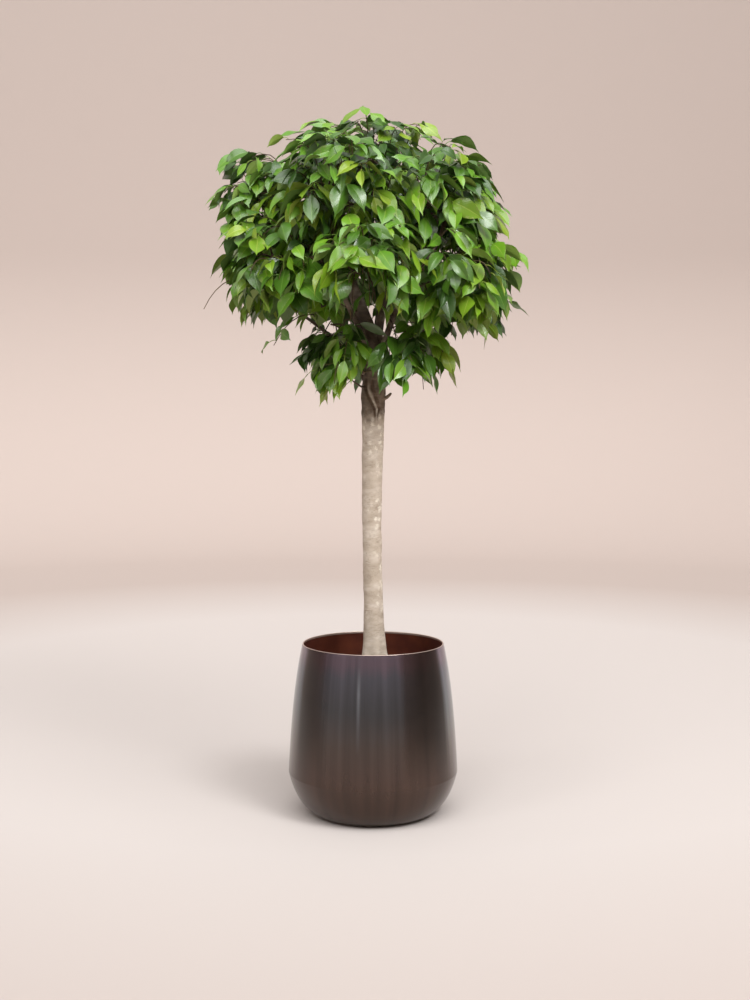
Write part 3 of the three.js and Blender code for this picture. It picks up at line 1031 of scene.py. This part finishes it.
def spray_places(draw, spacing, meshes, boxes, trees):
    """Where sprays grow: points, outward directions, mass numbers, whether inside, whether a mass is below.

    Points are drawn by area on every mass's skin and on a smaller copy of it inside. One is kept if a short
    step outwards from it meets no other mass, and if no point kept before it is nearer than the spacing. The
    sprays stand closer on top, and wider apart inside and on the loose masses under the fork.
    """
    density, step, hang = 9000, 0.020, 0.075
    found = []
    for inner, share in ((False, 1.0), (True, 0.5)):
        drawn = [skin_points(draw, triangles, share, density) for triangles in meshes]
        places, normals = (np.concatenate(part) for part in zip(*drawn))
        owners = np.repeat(np.arange(len(meshes)), [len(points) for points, _ in drawn])
        order = draw.permutation(len(places))
        places, normals, owners = places[order], normals[order], owners[order]
        probes = places + normals * step
        windowed = np.all((places > WINDOW[0]) & (places < WINDOW[1]), axis=1)
        loose = np.array([("under" in MASSES[owner]) for owner in owners])
        gaps = spacing * np.where(loose, 1.4, 1.0 - 0.26 * np.clip(normals[:, 2], 0, 1))
        gaps = gaps * (1.75 if inner else 1.0)
        kept, crowded = [], windowed
        for i, probe in enumerate(probes):
            if crowded[i] or (not inner and hidden(probe, owners[i], boxes, trees)):
                continue
            kept.append(i)
            crowded |= np.linalg.norm(places - places[i], axis=1) < gaps[i]
        below = [hidden(places[i] - UP * hang, owners[i], boxes, trees) for i in kept]
        found.append((places[kept], normals[kept], owners[kept], np.full(len(kept), inner), np.array(below)))
    return tuple(np.concatenate(part) for part in zip(*found))


def hidden(point, owner, boxes, trees):
    """Whether a point lies inside any mass but its owner's."""
    for number, ((low, high), tree) in enumerate(zip(boxes, trees)):
        if number == owner or np.any(point < low) or np.any(point > high):
            continue
        place, normal, _, _ = tree.find_nearest(Vector(point))
        if (Vector(point) - place).dot(normal) < 0:
            return True
    return False


def reach_outside(points, boxes, trees, most):
    """How far each point lies outside every mass: nought inside one, and at most the given distance."""
    reach = np.full(len(points), most)
    for (low, high), tree in zip(boxes, trees):
        near = np.all((points > low - most) & (points < high + most), axis=1)
        for i in np.flatnonzero(near):
            place, normal, _, distance = tree.find_nearest(Vector(points[i]))
            inside = (Vector(points[i]) - place).dot(normal) < 0
            reach[i] = 0.0 if inside else min(reach[i], distance)
    return reach


# ---- Twigs ----
def connect(roots, lengths, targets, balance):
    """Grows a tree from root points through every target, and returns all points, parents and the order.

    Each step takes the waiting target whose cost is least: its distance from a point of the tree, plus
    balance times the length of twig already behind that point, which keeps the ways from the boughs short.
    """
    first = len(roots)
    points = np.concatenate([roots, targets])
    length = np.concatenate([lengths, np.zeros(len(targets))])
    parents = np.full(len(points), -1)
    costs = np.linalg.norm(targets[:, None] - roots[None], axis=2) + balance * lengths
    best, cost = costs.argmin(1), costs.min(1)
    order = []
    for _ in range(len(targets)):
        j = int(cost.argmin())
        me = first + j
        parents[me] = best[j]
        length[me] = length[best[j]] + np.linalg.norm(points[me] - points[best[j]])
        cost[j] = np.inf
        order.append(me)
        mine = np.linalg.norm(targets - targets[j], axis=1) + balance * length[me]
        closer = (mine < cost) & np.isfinite(cost)
        best[closer], cost[closer] = me, mine[closer]
    return points, parents, order


def smooth_path(points, values, steps):
    """A Catmull-Rom curve through points, with values blended along it."""
    padded = np.concatenate([[2 * points[0] - points[1]], points, [2 * points[-1] - points[-2]]])
    t = np.linspace(0, 1, steps, endpoint=False)[:, None]
    p0, p1, p2, p3 = (padded[i : len(padded) - 3 + i][:, None] for i in range(4))
    curve = 0.5 * (
        2 * p1 + (p2 - p0) * t + (2 * p0 - 5 * p1 + 4 * p2 - p3) * t**2 + (3 * p1 - p0 - 3 * p2 + p3) * t**3
    )
    blend = values[:-1, None] * (1 - t[:, 0]) + values[1:, None] * t[:, 0]
    path = np.concatenate([curve.reshape(-1, 3), points[-1:]])
    return path, np.concatenate([blend.ravel(), values[-1:]])


def twig_chains(points, parents, order, first, tip_radius, root_radius):
    """Splits the tree into unbroken branches, each a list of point numbers with its radii.

    Radii follow the pipe rule: a twig's radius to the power 2.3 is the sum of its shoots' to that power. A
    branch starts on its parent and follows the thickest child to its tip.
    """
    power = 2.3
    flow = np.where(np.arange(len(points)) < first, 0.0, tip_radius**power)
    for me in reversed(order):
        if parents[me] >= first:
            flow[parents[me]] += flow[me]
    radius = flow ** (1 / power)
    radius[:first] = root_radius
    heir = np.full(len(points), -1)
    for me in order:
        parent = parents[me]
        if parent >= first and (heir[parent] < 0 or flow[me] > flow[heir[parent]]):
            heir[parent] = me
    chains = []
    for me in order:
        parent = parents[me]
        if parent >= first and heir[parent] == me:
            continue
        chain = [parent, me]
        while heir[chain[-1]] >= 0:
            chain.append(heir[chain[-1]])
        radii = radius[chain]
        radii[0] = min(radii[1] * 1.25, radius[parent] * 0.85)
        chains.append((chain, radii))
    return chains


def young_twig():
    """Young fig wood: thin and matt, in patches of dark brown, brown and olive green."""
    material, tree, shader = new_material("young_twig")
    place = add(tree, "ShaderNodeTexCoord").outputs["Object"]
    age = add(tree, "ShaderNodeTexNoise", {"Vector": place, "Scale": 22.0, "Detail": 3.0})
    rings = add(tree, "ShaderNodeTexNoise", {"Vector": place, "Scale": 300.0, "Detail": 2.0})
    colour = add(
        tree,
        "ShaderNodeValToRGB",
        {"Fac": age.outputs["Fac"]},
        stops=[(0.35, linear("#3a2a1e")), (0.55, linear("#5c4a34")), (0.72, linear("#7d7448"))],
    )
    tree.links.new(colour.outputs["Color"], shader.inputs["Base Color"])
    bump = add(tree, "ShaderNodeBump", {"Height": rings.outputs["Fac"], "Strength": 0.4, "Distance": 0.0004})
    tree.links.new(bump.outputs[0], shader.inputs["Normal"])
    shader.inputs["Roughness"].default_value = 0.7
    return material


# ---- Leaves ----
# Blade, underside and midrib of each tint, from the oldest leaves inside to the newest outside.
LEAF_TINTS = (
    ("deep", "#32541b", "#435e2a", "#4a6b29"),
    ("shade", "#456e1c", "#557134", "#5e8530"),
    ("summer", "#598921", "#6a873a", "#769c35"),
    ("bright", "#689620", "#78933d", "#87a53b"),
    ("fresh", "#709521", "#80963d", "#8ea83e"),
    ("lime", "#7e9b24", "#8c9f3f", "#9aae43"),
)


def fig_leaf(name, code, gloss, veins):
    """Fig leaf skin: one plain green, waxed and shiny above and dull below, with fine side veins that only
    catch the light. Thirteen of them leave the midrib on each side, about 5 mm apart, and slant towards the
    tip."""
    material, tree, shader = new_material(name)
    shader.inputs["Base Color"].default_value = (*linear(code), 1)
    shader.inputs["IOR"].default_value = 1.5
    shader.inputs["Roughness"].default_value = gloss
    shader.inputs["Coat Weight"].default_value = 0.4
    shader.inputs["Coat Roughness"].default_value = 0.18
    growth = add(tree, "ShaderNodeUVMap", uv_map="Growth").outputs[0]
    split = add(tree, "ShaderNodeSeparateXYZ", {0: growth})
    aside = add(tree, "ShaderNodeMath", {0: split.outputs["X"], 1: 0.5}, operation="SUBTRACT").outputs[0]
    aside = add(tree, "ShaderNodeMath", {0: aside}, operation="ABSOLUTE").outputs[0]
    slant = add(
        tree, "ShaderNodeMath", {0: aside, 1: -0.55, 2: split.outputs["Y"]}, operation="MULTIPLY_ADD"
    ).outputs[0]
    wave = add(tree, "ShaderNodeMath", {0: slant, 1: TURN * 13}, operation="MULTIPLY").outputs[0]
    wave = add(tree, "ShaderNodeMath", {0: wave}, operation="SINE").outputs[0]
    bump = add(tree, "ShaderNodeBump", {"Height": wave, "Strength": veins, "Distance": 0.0003})
    tree.links.new(bump.outputs[0], shader.inputs["Normal"])
    return material


def leaf_materials():
    """The blade, underside and midrib materials of every tint, in one list of threes."""
    materials = []
    for name, blade, under, rib in LEAF_TINTS:
        materials.append(fig_leaf("leaf_" + name, blade, 0.34, 0.25))
        materials.append(fig_leaf("leaf_under_" + name, under, 0.55, 0.4))
        materials.append(fig_leaf("leaf_rib_" + name, rib, 0.42, 0.0))
    return materials


LEAF_ROWS = np.array([0, 0.05, 0.14, 0.26, 0.39, 0.52, 0.65, 0.77, 0.87, 1.0])
LEAF_COLUMNS = np.array([-1, -0.55, -0.05, 0.05, 0.55, 1])


def leaf_outline(u):
    """Half width of a fig leaf over its full width, from stalk to tip: a power of a sine that is fullest at
    two fifths, run out into a narrow drip tip."""
    body = np.sin(math.pi * np.clip(u / 0.9, 0, 1) ** 0.88) ** 0.82
    tip = 0.12 * np.clip((1 - u) / 0.2, 0, 1)
    return 0.5 * np.maximum(np.maximum(body, tip), 0.012)


def turned(vectors, axis, angle):
    """Vectors turned about an axis of length one, by Rodrigues' formula."""
    along = (vectors * axis).sum(-1, keepdims=True) * axis
    return along + (vectors - along) * np.cos(angle) + np.cross(axis, vectors) * np.sin(angle)


def leaf_shapes(stalk, facts):
    """Top and underside points of many leaves at once, each shaped (leaves, rows, columns, 3).

    A leaf's midrib leaves the end of its stalk at one slope and bends evenly to another, and the whole leaf
    swings aside about its heading. Its two halves rise from the midrib by the fold angle, curl down towards
    their edges and wave along their length.
    """
    u, v = LEAF_ROWS[None, :, None], LEAF_COLUMNS[None, None, :]
    slope = facts["slope"][:, None] + (facts["end_slope"] - facts["slope"])[:, None] * LEAF_ROWS[None] ** 0.8
    heading = facts["heading"][:, None] + facts["sickle"][:, None] * LEAF_ROWS[None]
    ahead = direction(heading, slope)
    axis = direction(facts["heading"])[:, None]
    side = np.stack([-np.sin(heading), np.cos(heading), np.zeros_like(heading)], -1)
    swing = facts["swing"][:, None, None]
    ahead, side = (turned(vectors, axis, swing) for vectors in (ahead, side))
    step = np.diff(LEAF_ROWS, prepend=0)[None, :, None]
    middle = (ahead + np.roll(ahead, 1, axis=1)) / 2
    middle[:, 0] = 0
    spine = stalk[:, None] + np.cumsum(middle * step, axis=1) * facts["length"][:, None, None]
    face = np.cross(ahead, side)
    roll = (facts["roll"][:, None] + facts["twist"][:, None] * LEAF_ROWS[None])[..., None]
    side, face = side * np.cos(roll) + face * np.sin(roll), face * np.cos(roll) - side * np.sin(roll)
    half = leaf_outline(LEAF_ROWS)[None, :, None] * (facts["width"] * facts["length"])[:, None, None]
    fold = facts["fold"][:, None, None]
    wave = np.sin(TURN * 1.6 * u + facts["phase"][:, None, None] + 1.9 * (v > 0))
    ripple = facts["ripple"][:, None, None] * wave
    lift = half * (np.abs(v) * np.sin(fold) - 0.22 * v * v + ripple * v * v)
    flat = half * v * np.cos(fold)
    sheet = spine[:, :, None] + side[:, :, None] * flat[..., None] + face[:, :, None] * lift[..., None]
    thick = 0.00022 * face[:, :, None]
    return sheet + thick, sheet - thick


def leaf_faces(rows, columns):
    """Faces of one leaf, whose underside shares its rim with the top, and which faces are which.

    Returns the quads, their kind (0 blade, 1 underside, 2 midrib), and flags for the points that the
    underside has of its own and for those of the rim.
    """
    total = rows * columns
    row, column = np.divmod(np.arange(total), columns)
    rim = (row == 0) | (row == rows - 1) | (column == 0) | (column == columns - 1)
    below = np.arange(total)
    below[~rim] = total + np.arange((~rim).sum())
    top = grid_quads(rows, columns)
    under = below[top][:, ::-1]
    across = np.tile(np.arange(columns - 1), rows - 1)
    kind = np.where(across == columns // 2 - 1, 2, 0)
    return np.concatenate([top, under]), np.concatenate([kind, np.ones(len(under), int)]), ~rim, rim


def leaf_mesh(stalk, facts, tints):
    """Points, quads, slots, uv and rim flags of many leaves as one mesh."""
    top, under = leaf_shapes(stalk, facts)
    rows, columns = len(LEAF_ROWS), len(LEAF_COLUMNS)
    faces, kind, own, rim = leaf_faces(rows, columns)
    leaves = len(top)
    points = np.concatenate([top.reshape(leaves, -1, 3), under.reshape(leaves, -1, 3)[:, own]], axis=1)
    each = points.shape[1]
    quads = (faces[None] + (np.arange(leaves) * each)[:, None, None]).reshape(-1, 4)
    slots = (kind[None] + 3 * tints[:, None]).ravel()
    across, along = np.meshgrid((LEAF_COLUMNS + 1) / 2, LEAF_ROWS)
    flat = np.stack([across.ravel(), along.ravel()], -1)
    flat = np.concatenate([flat, flat[own]])
    uv = np.tile(flat[faces].reshape(-1, 2), (leaves, 1))
    flags = np.tile(np.concatenate([rim, np.zeros(own.sum(), bool)]), leaves)
    return points.reshape(-1, 3), quads, slots, uv, flags


def tubes(paths, radii, sides, across):
    """Many equal tubes at once: paths (count, rings, 3), radii (count, rings), and for each tube a direction
    square to the plane that it bends in."""
    ahead = unit(np.gradient(paths, axis=1))
    over = unit(np.cross(across[:, None], ahead))
    angle = np.arange(sides) * TURN / sides
    spokes = (
        np.cos(angle)[None, None, :, None] * across[:, None, None]
        + np.sin(angle)[None, None, :, None] * over[:, :, None]
    )
    rings = paths[:, :, None] + spokes * radii[:, :, None, None]
    count, rows = paths.shape[:2]
    points = np.concatenate([rings.reshape(count, -1, 3), paths[:, :1], paths[:, -1:]], axis=1)
    quads, fans = tube_faces(rows, sides)
    shift = (np.arange(count) * points.shape[1])[:, None, None]
    return points.reshape(-1, 3), (quads[None] + shift).reshape(-1, 4), (fans[None] + shift).reshape(-1, 3)


class FIG_OT_head(bpy.types.Operator):
    """Grows the head: sprays over the masses' skin, twigs that join them to the boughs, and their leaves."""

    bl_idname = "fig.head"
    bl_label = "Head"

    def execute(self, context):
        settings = context.scene.fig_head
        draw = np.random.default_rng(settings.seed)
        meshes, boxes, trees = mass_shapes()
        places, normals, owners, inner, below = spray_places(draw, settings.spacing, meshes, boxes, trees)
        sprays = self.shoots(settings, draw, places, normals, inner, below, owners)
        owners = self.add_wisps(sprays, owners)
        self.grow_twigs(settings, sprays, owners)
        self.grow_leaves(settings, draw, sprays, owners, boxes, trees)
        return {"FINISHED"}

    def shoots(self, settings, draw, places, normals, inner, below, owners):
        """Each spray's shoot as a quadratic Bezier curve: out of the head, over, and down under its leaves.

        A shoot's crest lies inside the skin by as much as its leaves will reach past it, and one in eight at
        the sides stands 22 mm further out. On the head's open underside the crest is raised, so that the
        hanging leaves end at the skin. Shoots on top run further out and droop less.
        """
        count = len(places)
        rising = np.clip(normals[:, 2], 0, 1)
        falling = np.clip(-normals[:, 2], 0, 1) * ~(below | inner)
        radial = unit(places - HEAD_MIDDLE)
        outwards = unit(normals + 0.9 * radial)
        low = np.array(["under" in MASSES[owner] for owner in owners])
        flat = unit(radial[:, :2] + 0.25 * normals[:, :2])
        bearing = np.arctan2(flat[:, 1], flat[:, 0]) + draw.normal(0, np.where(inner, 0.9, 0.35), count)
        inset = settings.inset * np.where(low, 0.8, 1.0) * (1 - 0.8 * rising**3)
        inset = inset * draw.uniform(0.8, 1.35, count)
        inset = np.where((draw.random(count) < 0.12) & (rising < 0.2), inset - 0.022, inset)
        lift = settings.inset * falling * np.where(low, 1.5, 1.0)
        crest = places - outwards * inset[:, None] + UP * lift[:, None]
        length = settings.shoot * draw.uniform(0.75, 1.25, count)
        start = crest - outwards * (0.6 * length)[:, None] - UP * (0.005 + 0.025 * rising)[:, None]
        reach = (0.006 + 0.036 * rising) * draw.uniform(0.5, 1.5, count)
        drop = length * (0.45 - 0.30 * rising) * draw.uniform(0.6, 1.3, count)
        end = crest + direction(bearing) * reach[:, None] - UP * drop[:, None]
        bend = crest + UP * 0.010 + draw.normal(0, 0.006, (count, 3))
        return {
            "start": start,
            "bend": bend,
            "end": end,
            "bearing": bearing,
            "rising": rising,
            "inner": inner,
            "leaves": np.where(low, draw.integers(3, 6, count), draw.integers(4, 8, count)),
        }

    def add_wisps(self, sprays, owners):
        """Adds the long loose shoots to the sprays, each owned by the mass whose middle is nearest."""
        curves = np.array([numbers for numbers, _ in WISPS]).reshape(-1, 3, 3)
        start, bend, end = curves[:, 0], curves[:, 1], curves[:, 2]
        middles = np.array([np.mean(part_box(node), axis=0) for node in MASSES])
        nearest = np.linalg.norm(end[:, None] - middles[None], axis=2).argmin(1)
        more = {
            "start": start,
            "bend": bend,
            "end": end,
            "bearing": np.arctan2(end[:, 1] - start[:, 1], end[:, 0] - start[:, 0]),
            "rising": np.clip((start[:, 2] - 1.25) / 0.2, 0, 0.8),
            "inner": np.zeros(len(WISPS), bool),
            "leaves": np.array([leaves for _, leaves in WISPS]),
        }
        for key, values in more.items():
            sprays[key] = np.concatenate([sprays[key], values])
        return np.concatenate([owners, nearest])

    def shoot_points(self, sprays, index, t):
        """Points of the shoots' curves: (1-t)^2 start + 2t(1-t) bend + t^2 end."""
        t = t[:, None]
        return (
            (1 - t) ** 2 * sprays["start"][index]
            + 2 * t * (1 - t) * sprays["bend"][index]
            + t * t * sprays["end"][index]
        )

    def grow_twigs(self, settings, sprays, owners):
        """Joins every shoot to the boughs and makes one piece of twigs for each mass."""
        # Twigs may start at twelve places on each bough's outer three quarters.
        share, steps = np.linspace(0.25, 1, 12), 100
        on_path = (share * (steps - 1)).astype(int)
        roots = np.concatenate([bough_path(name, steps)[on_path] for name in BOUGHS])
        lengths = np.concatenate([share * rise for _, _, _, _, rise in BOUGHS.values()])
        radii = np.concatenate([bough_radius(name, share) for name in BOUGHS])
        points, parents, order = connect(roots, lengths, sprays["start"], balance=0.35)
        chains = twig_chains(points, parents, order, len(roots), settings.twig * 1.3, radii)
        material = young_twig()
        parts = [[] for _ in MASSES]
        for chain, chain_radii in chains:
            path, thick = smooth_path(points[chain], chain_radii, steps=4)
            sides = 8 if chain_radii[1] > 0.003 else 6
            parts[owners[chain[-1] - len(roots)]].append(closed_tube(sweep(path, thick, sides)))
        t = np.linspace(0, 1, 7)
        for number, node in enumerate(MASSES):
            mine = np.flatnonzero(owners == number)
            paths = np.stack([self.shoot_points(sprays, mine, np.full(len(mine), s)) for s in t], axis=1)
            thick = settings.twig * np.linspace(1.3, 0.7, len(t))[None].repeat(len(mine), 0)
            across = unit(np.cross(paths[:, 3] - paths[:, 0], paths[:, -1] - paths[:, 3]) + 1e-9)
            parts[number].append(tubes(paths, thick, 5, across))
            piece = make_piece(node.replace("leaves", "twigs"), *joined(parts[number]), [material])
            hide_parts(node)

    def grow_leaves(self, settings, draw, sprays, owners, boxes, trees):
        """Hangs leaves left and right along each shoot and makes one piece of leaves for each mass."""
        per_spray = sprays["leaves"]
        spray = np.repeat(np.arange(len(owners)), per_spray)
        rank = np.concatenate([np.arange(n) for n in per_spray])
        last = rank == per_spray[spray] - 1
        loose = spray >= len(owners) - len(WISPS)
        share = 0.2 + 0.8 * (rank + 0.6) / per_spray[spray]
        share = np.minimum(share, 1.0)
        side = np.where((rank + spray) % 2 == 0, 1.0, -1.0) * np.where(last, 0.2, 1.0)
        base = self.shoot_points(sprays, spray, share)
        bearing, rising = sprays["bearing"][spray], sprays["rising"][spray]
        facts = self.leaf_facts(settings, draw, bearing, rising, share, side)
        facts["length"] = facts["length"] * np.where(loose, 0.84, 1.0)
        # A stalk leaves its shoot 20 degrees less steeply than its leaf hangs.
        toward = direction(facts["heading"], facts["slope"] + 0.35)
        stalk = base + toward * (settings.petiole * draw.uniform(0.7, 1.3, len(spray)))[:, None]
        tints = self.deal_tints(draw, sprays, spray, share, last)
        reaches = self.within(stalk, facts, loose, draw, boxes, trees)
        materials = leaf_materials()
        for number, node in enumerate(MASSES):
            mine = (owners[spray] == number) & reaches
            own = {key: values[mine] for key, values in facts.items()}
            points, quads, slots, uv, rim = leaf_mesh(stalk[mine], own, tints[mine])
            stalks = self.stalk_tubes(base[mine], stalk[mine], own["heading"])
            points, quads, tris = joined([(points, quads, np.empty((0, 3), int)), stalks])
            # Stalks are the colour of their leaf's midrib, and have no place along it.
            rib = 3 * tints[mine] + 2
            stalk_slots = [np.repeat(rib, len(faces) // len(rib)) for faces in stalks[1:]]
            slots = np.concatenate([slots, *stalk_slots])
            uv = np.concatenate([uv, np.full((stalks[1].size + stalks[2].size, 2), 0.5)])
            rim = np.concatenate([rim, np.zeros(len(stalks[0]), bool)])
            piece = make_piece(node + "_spray", points, quads, tris, materials, slots, uv, sharp=rim)
            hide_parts(node)

    def leaf_facts(self, settings, draw, bearing, rising, share, side):
        """How each leaf is turned, bent and sized: angles in radians, from its shoot's bearing and its place
        along the shoot. Leaves on top of the head hang less, and those near a shoot's end are smaller."""
        leaves = len(side)
        return {
            "heading": bearing + side * draw.normal(0.90, 0.42, leaves),
            "slope": np.radians(draw.normal(-42, 17, leaves)) + 0.55 * rising,
            "end_slope": np.radians(draw.normal(-76, 12, leaves))
            + 0.85 * rising * draw.uniform(0.2, 1, leaves),
            "sickle": draw.normal(0, 0.25, leaves),
            "swing": draw.normal(0, 0.38, leaves) + 0.16 * side,
            "roll": draw.normal(0, 0.42, leaves),
            "twist": draw.normal(0, 0.38, leaves),
            "length": settings.leaf_length
            * draw.uniform(0.62, 1.10, leaves)
            * (1 - 0.16 * share - 0.2 * rising),
            "width": settings.leaf_width * draw.uniform(0.86, 1.12, leaves),
            "fold": np.radians(draw.normal(23, 13, leaves)),
            "ripple": draw.uniform(0.02, 0.16, leaves),
            "phase": draw.uniform(0, TURN, leaves),
        }

    def deal_tints(self, draw, sprays, spray, share, last):
        """Each leaf's number in LEAF_TINTS, dealt out by spray.

        Inner sprays are old and dark, most outer ones middling, and about one in ten is new growth, fewer on
        the dome. As painted shade and light, some of the dome's sprays are a shade darker, and some about
        the head's waist a shade brighter.
        brighter. Nearly half of the leaves towards a shoot's end are a shade brighter than the rest.
        """
        inner, height = sprays["inner"], sprays["start"][:, 2]
        count, brightest = len(inner), len(LEAF_TINTS) - 1
        tint_of_spray = draw.choice(5, count, p=[0.14, 0.26, 0.30, 0.22, 0.08])
        tint_of_spray = np.where(inner, draw.integers(0, 2, count), tint_of_spray)
        shade = draw.random(count)
        # Painted shade on some of the dome's sprays, and painted light on some about the head's waist.
        dome = (height > DOME) & (shade < 0.55) & ~inner
        waist = (np.abs(height - HEAD_MIDDLE[2]) < 0.07) & (shade < 0.22) & ~inner
        tint_of_spray = np.clip(tint_of_spray - dome + waist, 0, brightest - 1)
        new_growth = (draw.random(count) < np.where(height > DOME, 0.05, 0.11)) & ~inner
        tint_of_spray[-len(WISPS) :] = 2 + np.arange(len(WISPS)) % 2
        tint_of_spray = np.where(new_growth, brightest - 1, tint_of_spray)
        brighter = (last | (share > 0.8)) & ~inner[spray] & (draw.random(len(spray)) < 0.45)
        tints = tint_of_spray[spray] + brighter
        tints = np.where(new_growth[spray] & (share > 0.55), brightest, tints)
        return np.clip(tints, 0, brightest)

    def within(self, stalk, facts, loose, draw, boxes, trees):
        """Which leaves are grown: those in the CAD head's box with 24 mm to spare, whose tips reach little
        past the masses, and that don't hang before the open fork, of which a few stay."""
        top, _ = leaf_shapes(stalk, facts)
        low, high = (np.array(corner) for corner in CAD_BOUNDS)
        spare, furthest = 0.024, 0.06
        lowest, highest = top.min((1, 2)), top.max((1, 2))
        boxed = np.all(lowest > low - spare, axis=1) & np.all(highest < high + spare, axis=1)
        middle = top.mean((1, 2))
        opened = np.all((middle > WINDOW[0]) & (middle < WINDOW[1]), axis=1) & (draw.random(len(top)) < 0.85)
        beyond = reach_outside(top[:, -1, 2], boxes, trees, furthest)
        near = beyond < np.where(draw.random(len(top)) < 0.15, 0.034, 0.020)
        return boxed & (near | loose) & ~(opened & ~loose)

    def stalk_tubes(self, base, end, heading):
        """Leaf stalks: four-sided tubes from the shoot to the blade, bowed up by a parabola of 2.2 mm."""
        t = np.linspace(0, 1, 4)[None, :, None]
        paths = base[:, None] * (1 - t) + end[:, None] * t + UP * (0.0022 * t * (1 - t) * 4)
        across = np.stack([-np.sin(heading), np.cos(heading), np.zeros(len(heading))], -1)
        radii = np.full(paths.shape[:2], 0.0007)
        return tubes(paths, radii, 4, across)


# ---- Studio ----
def studio_paper(settings):
    """Matt paper with painted light and shade: palest under and behind the plant as a painted pool of light,
    a little deeper a couple of metres from there as painted shade, and pale again across the room, painted
    light on the wall behind the lamps, which they leave in shade."""
    material, tree, shader = new_material("studio_paper")
    place = add(tree, "ShaderNodeTexCoord").outputs["Object"]
    away = add(
        tree, "ShaderNodeVectorMath", {0: place, 1: (0, 1.3, 0)}, operation="DISTANCE"
    ).outputs["Value"]
    away = add(tree, "ShaderNodeMapRange", {"Value": away, "From Max": 9.0}).outputs[0]
    colour = add(
        tree,
        "ShaderNodeValToRGB",
        {"Fac": away},
        stops=[
            (0.18, tuple(settings.paper)),
            (0.32, tuple(settings.backdrop)),
            (0.80, tuple(settings.backdrop)),
            (0.94, linear("#f4ece6")),
        ],
    )
    tree.links.new(colour.outputs["Color"], shader.inputs["Base Color"])
    shader.inputs["Roughness"].default_value = 0.85
    return material


class FIG_OT_studio(bpy.types.Operator):
    """Sets the pale floor with its raised edge, the soft lights and the camera."""

    bl_idname = "fig.studio"
    bl_label = "Studio"

    def execute(self, context):
        settings = context.scene.fig_studio
        self.floor(settings)
        self.lights(context)
        camera = bpy.data.cameras.new("camera")
        camera.lens = settings.lens
        camera.sensor_width = 36
        camera.clip_end = 100
        holder = bpy.data.objects.new("camera", camera)
        holder.location = (settings.aside, -settings.distance, settings.height)
        holder.rotation_euler = (math.pi / 2 - settings.tilt, 0, 0)
        context.scene.collection.objects.link(holder)
        context.scene.camera = holder
        return {"FINISHED"}

    def floor(self, settings):
        """A flat disc that sweeps up into a wall all round: a quarter circle from the flat to upright."""
        flat, bend, wall = 5.0, 2.0, 3.0
        angle = np.linspace(0, math.pi / 2, 24)
        radii = np.concatenate([[0.5, 2.0], flat + bend * np.sin(angle), [flat + bend]])
        heights = np.concatenate([[0, 0], bend * (1 - np.cos(angle)), [bend + wall]])
        points, quads, tris = lathe(radii, heights, 96)
        # Only the middle is closed, and the room stays open above.
        middle = tris[: len(tris) // 2]
        mesh = bpy.data.meshes.new("studio_floor")
        mesh.from_pydata(points.tolist(), [], quads.tolist() + middle.tolist())
        mesh.materials.append(studio_paper(settings))
        mesh.shade_smooth()
        floor = bpy.data.objects.new("studio_floor", mesh)
        bpy.context.scene.collection.objects.link(floor)

    def lights(self, context):
        """A wide soft sun from high in front, two soft panels for the shine, and a pale surround."""
        target = Vector((0, 0, 0.95))
        for name, kind, place, size, power in (
            ("daylight", "SUN", (0.4, -2.1, 3.5), 1.1, 3.3),
            ("key", "AREA", (1.8, -2.4, 3.1), 1.3, 62),
            ("fill", "AREA", (-2.5, -2.0, 2.5), 1.2, 20),
        ):
            light = bpy.data.lights.new(name, kind)
            light.energy = power
            if kind == "SUN":
                light.angle = size
            else:
                light.shape = "DISK"
                light.size = size
            lamp = bpy.data.objects.new(name, light)
            lamp.location = place
            lamp.rotation_euler = (target - Vector(place)).to_track_quat("-Z", "Y").to_euler()
            context.scene.collection.objects.link(lamp)
        world = bpy.data.worlds.new("surround")
        world.use_nodes = True
        world.node_tree.nodes.clear()
        pale = (*linear("#fdf8f6"), 1)
        glow = add(world.node_tree, "ShaderNodeBackground", {"Color": pale, "Strength": 0.60})
        add(world.node_tree, "ShaderNodeOutputWorld", {"Surface": glow.outputs[0]})
        context.scene.world = world
        context.scene.view_settings.view_transform = "Standard"


class FIG_PT_sidebar(bpy.types.Panel):
    """Shows each group's settings with the buttons that build its parts."""

    bl_label = "Weeping fig"
    bl_idname = "FIG_PT_sidebar"
    bl_space_type = "VIEW_3D"
    bl_region_type = "UI"
    bl_category = "Fig"

    def draw(self, context):
        for group, operators in PANEL_ROWS:
            box = self.layout.box()
            settings = getattr(context.scene, group)
            for key in settings.__annotations__:
                box.prop(settings, key)
            for operator in operators:
                box.operator(operator.bl_idname)


PANEL_ROWS = (
    ("fig_planter", (FIG_OT_planter, FIG_OT_soil)),
    ("fig_bark", (FIG_OT_stem, FIG_OT_boughs)),
    ("fig_head", (FIG_OT_head,)),
    ("fig_studio", (FIG_OT_studio,)),
)
SETTINGS = {
    "fig_planter": PlanterSettings,
    "fig_bark": BarkSettings,
    "fig_head": HeadSettings,
    "fig_studio": StudioSettings,
}
CLASSES = (
    *SETTINGS.values(),
    FIG_OT_planter,
    FIG_OT_soil,
    FIG_OT_stem,
    FIG_OT_boughs,
    FIG_OT_head,
    FIG_OT_studio,
    FIG_PT_sidebar,
)


def register():
    for item in CLASSES:
        bpy.utils.register_class(item)
    for name, group in SETTINGS.items():
        setattr(bpy.types.Scene, name, PointerProperty(type=group))


def unregister():
    for name in SETTINGS:
        delattr(bpy.types.Scene, name)
    for item in reversed(CLASSES):
        bpy.utils.unregister_class(item)


def main():
    register()
    bpy.ops.fig.planter()
    bpy.ops.fig.soil()
    bpy.ops.fig.stem()
    bpy.ops.fig.boughs()
    bpy.ops.fig.head()
    bpy.ops.fig.studio()


if __name__ == "__main__":
    main()
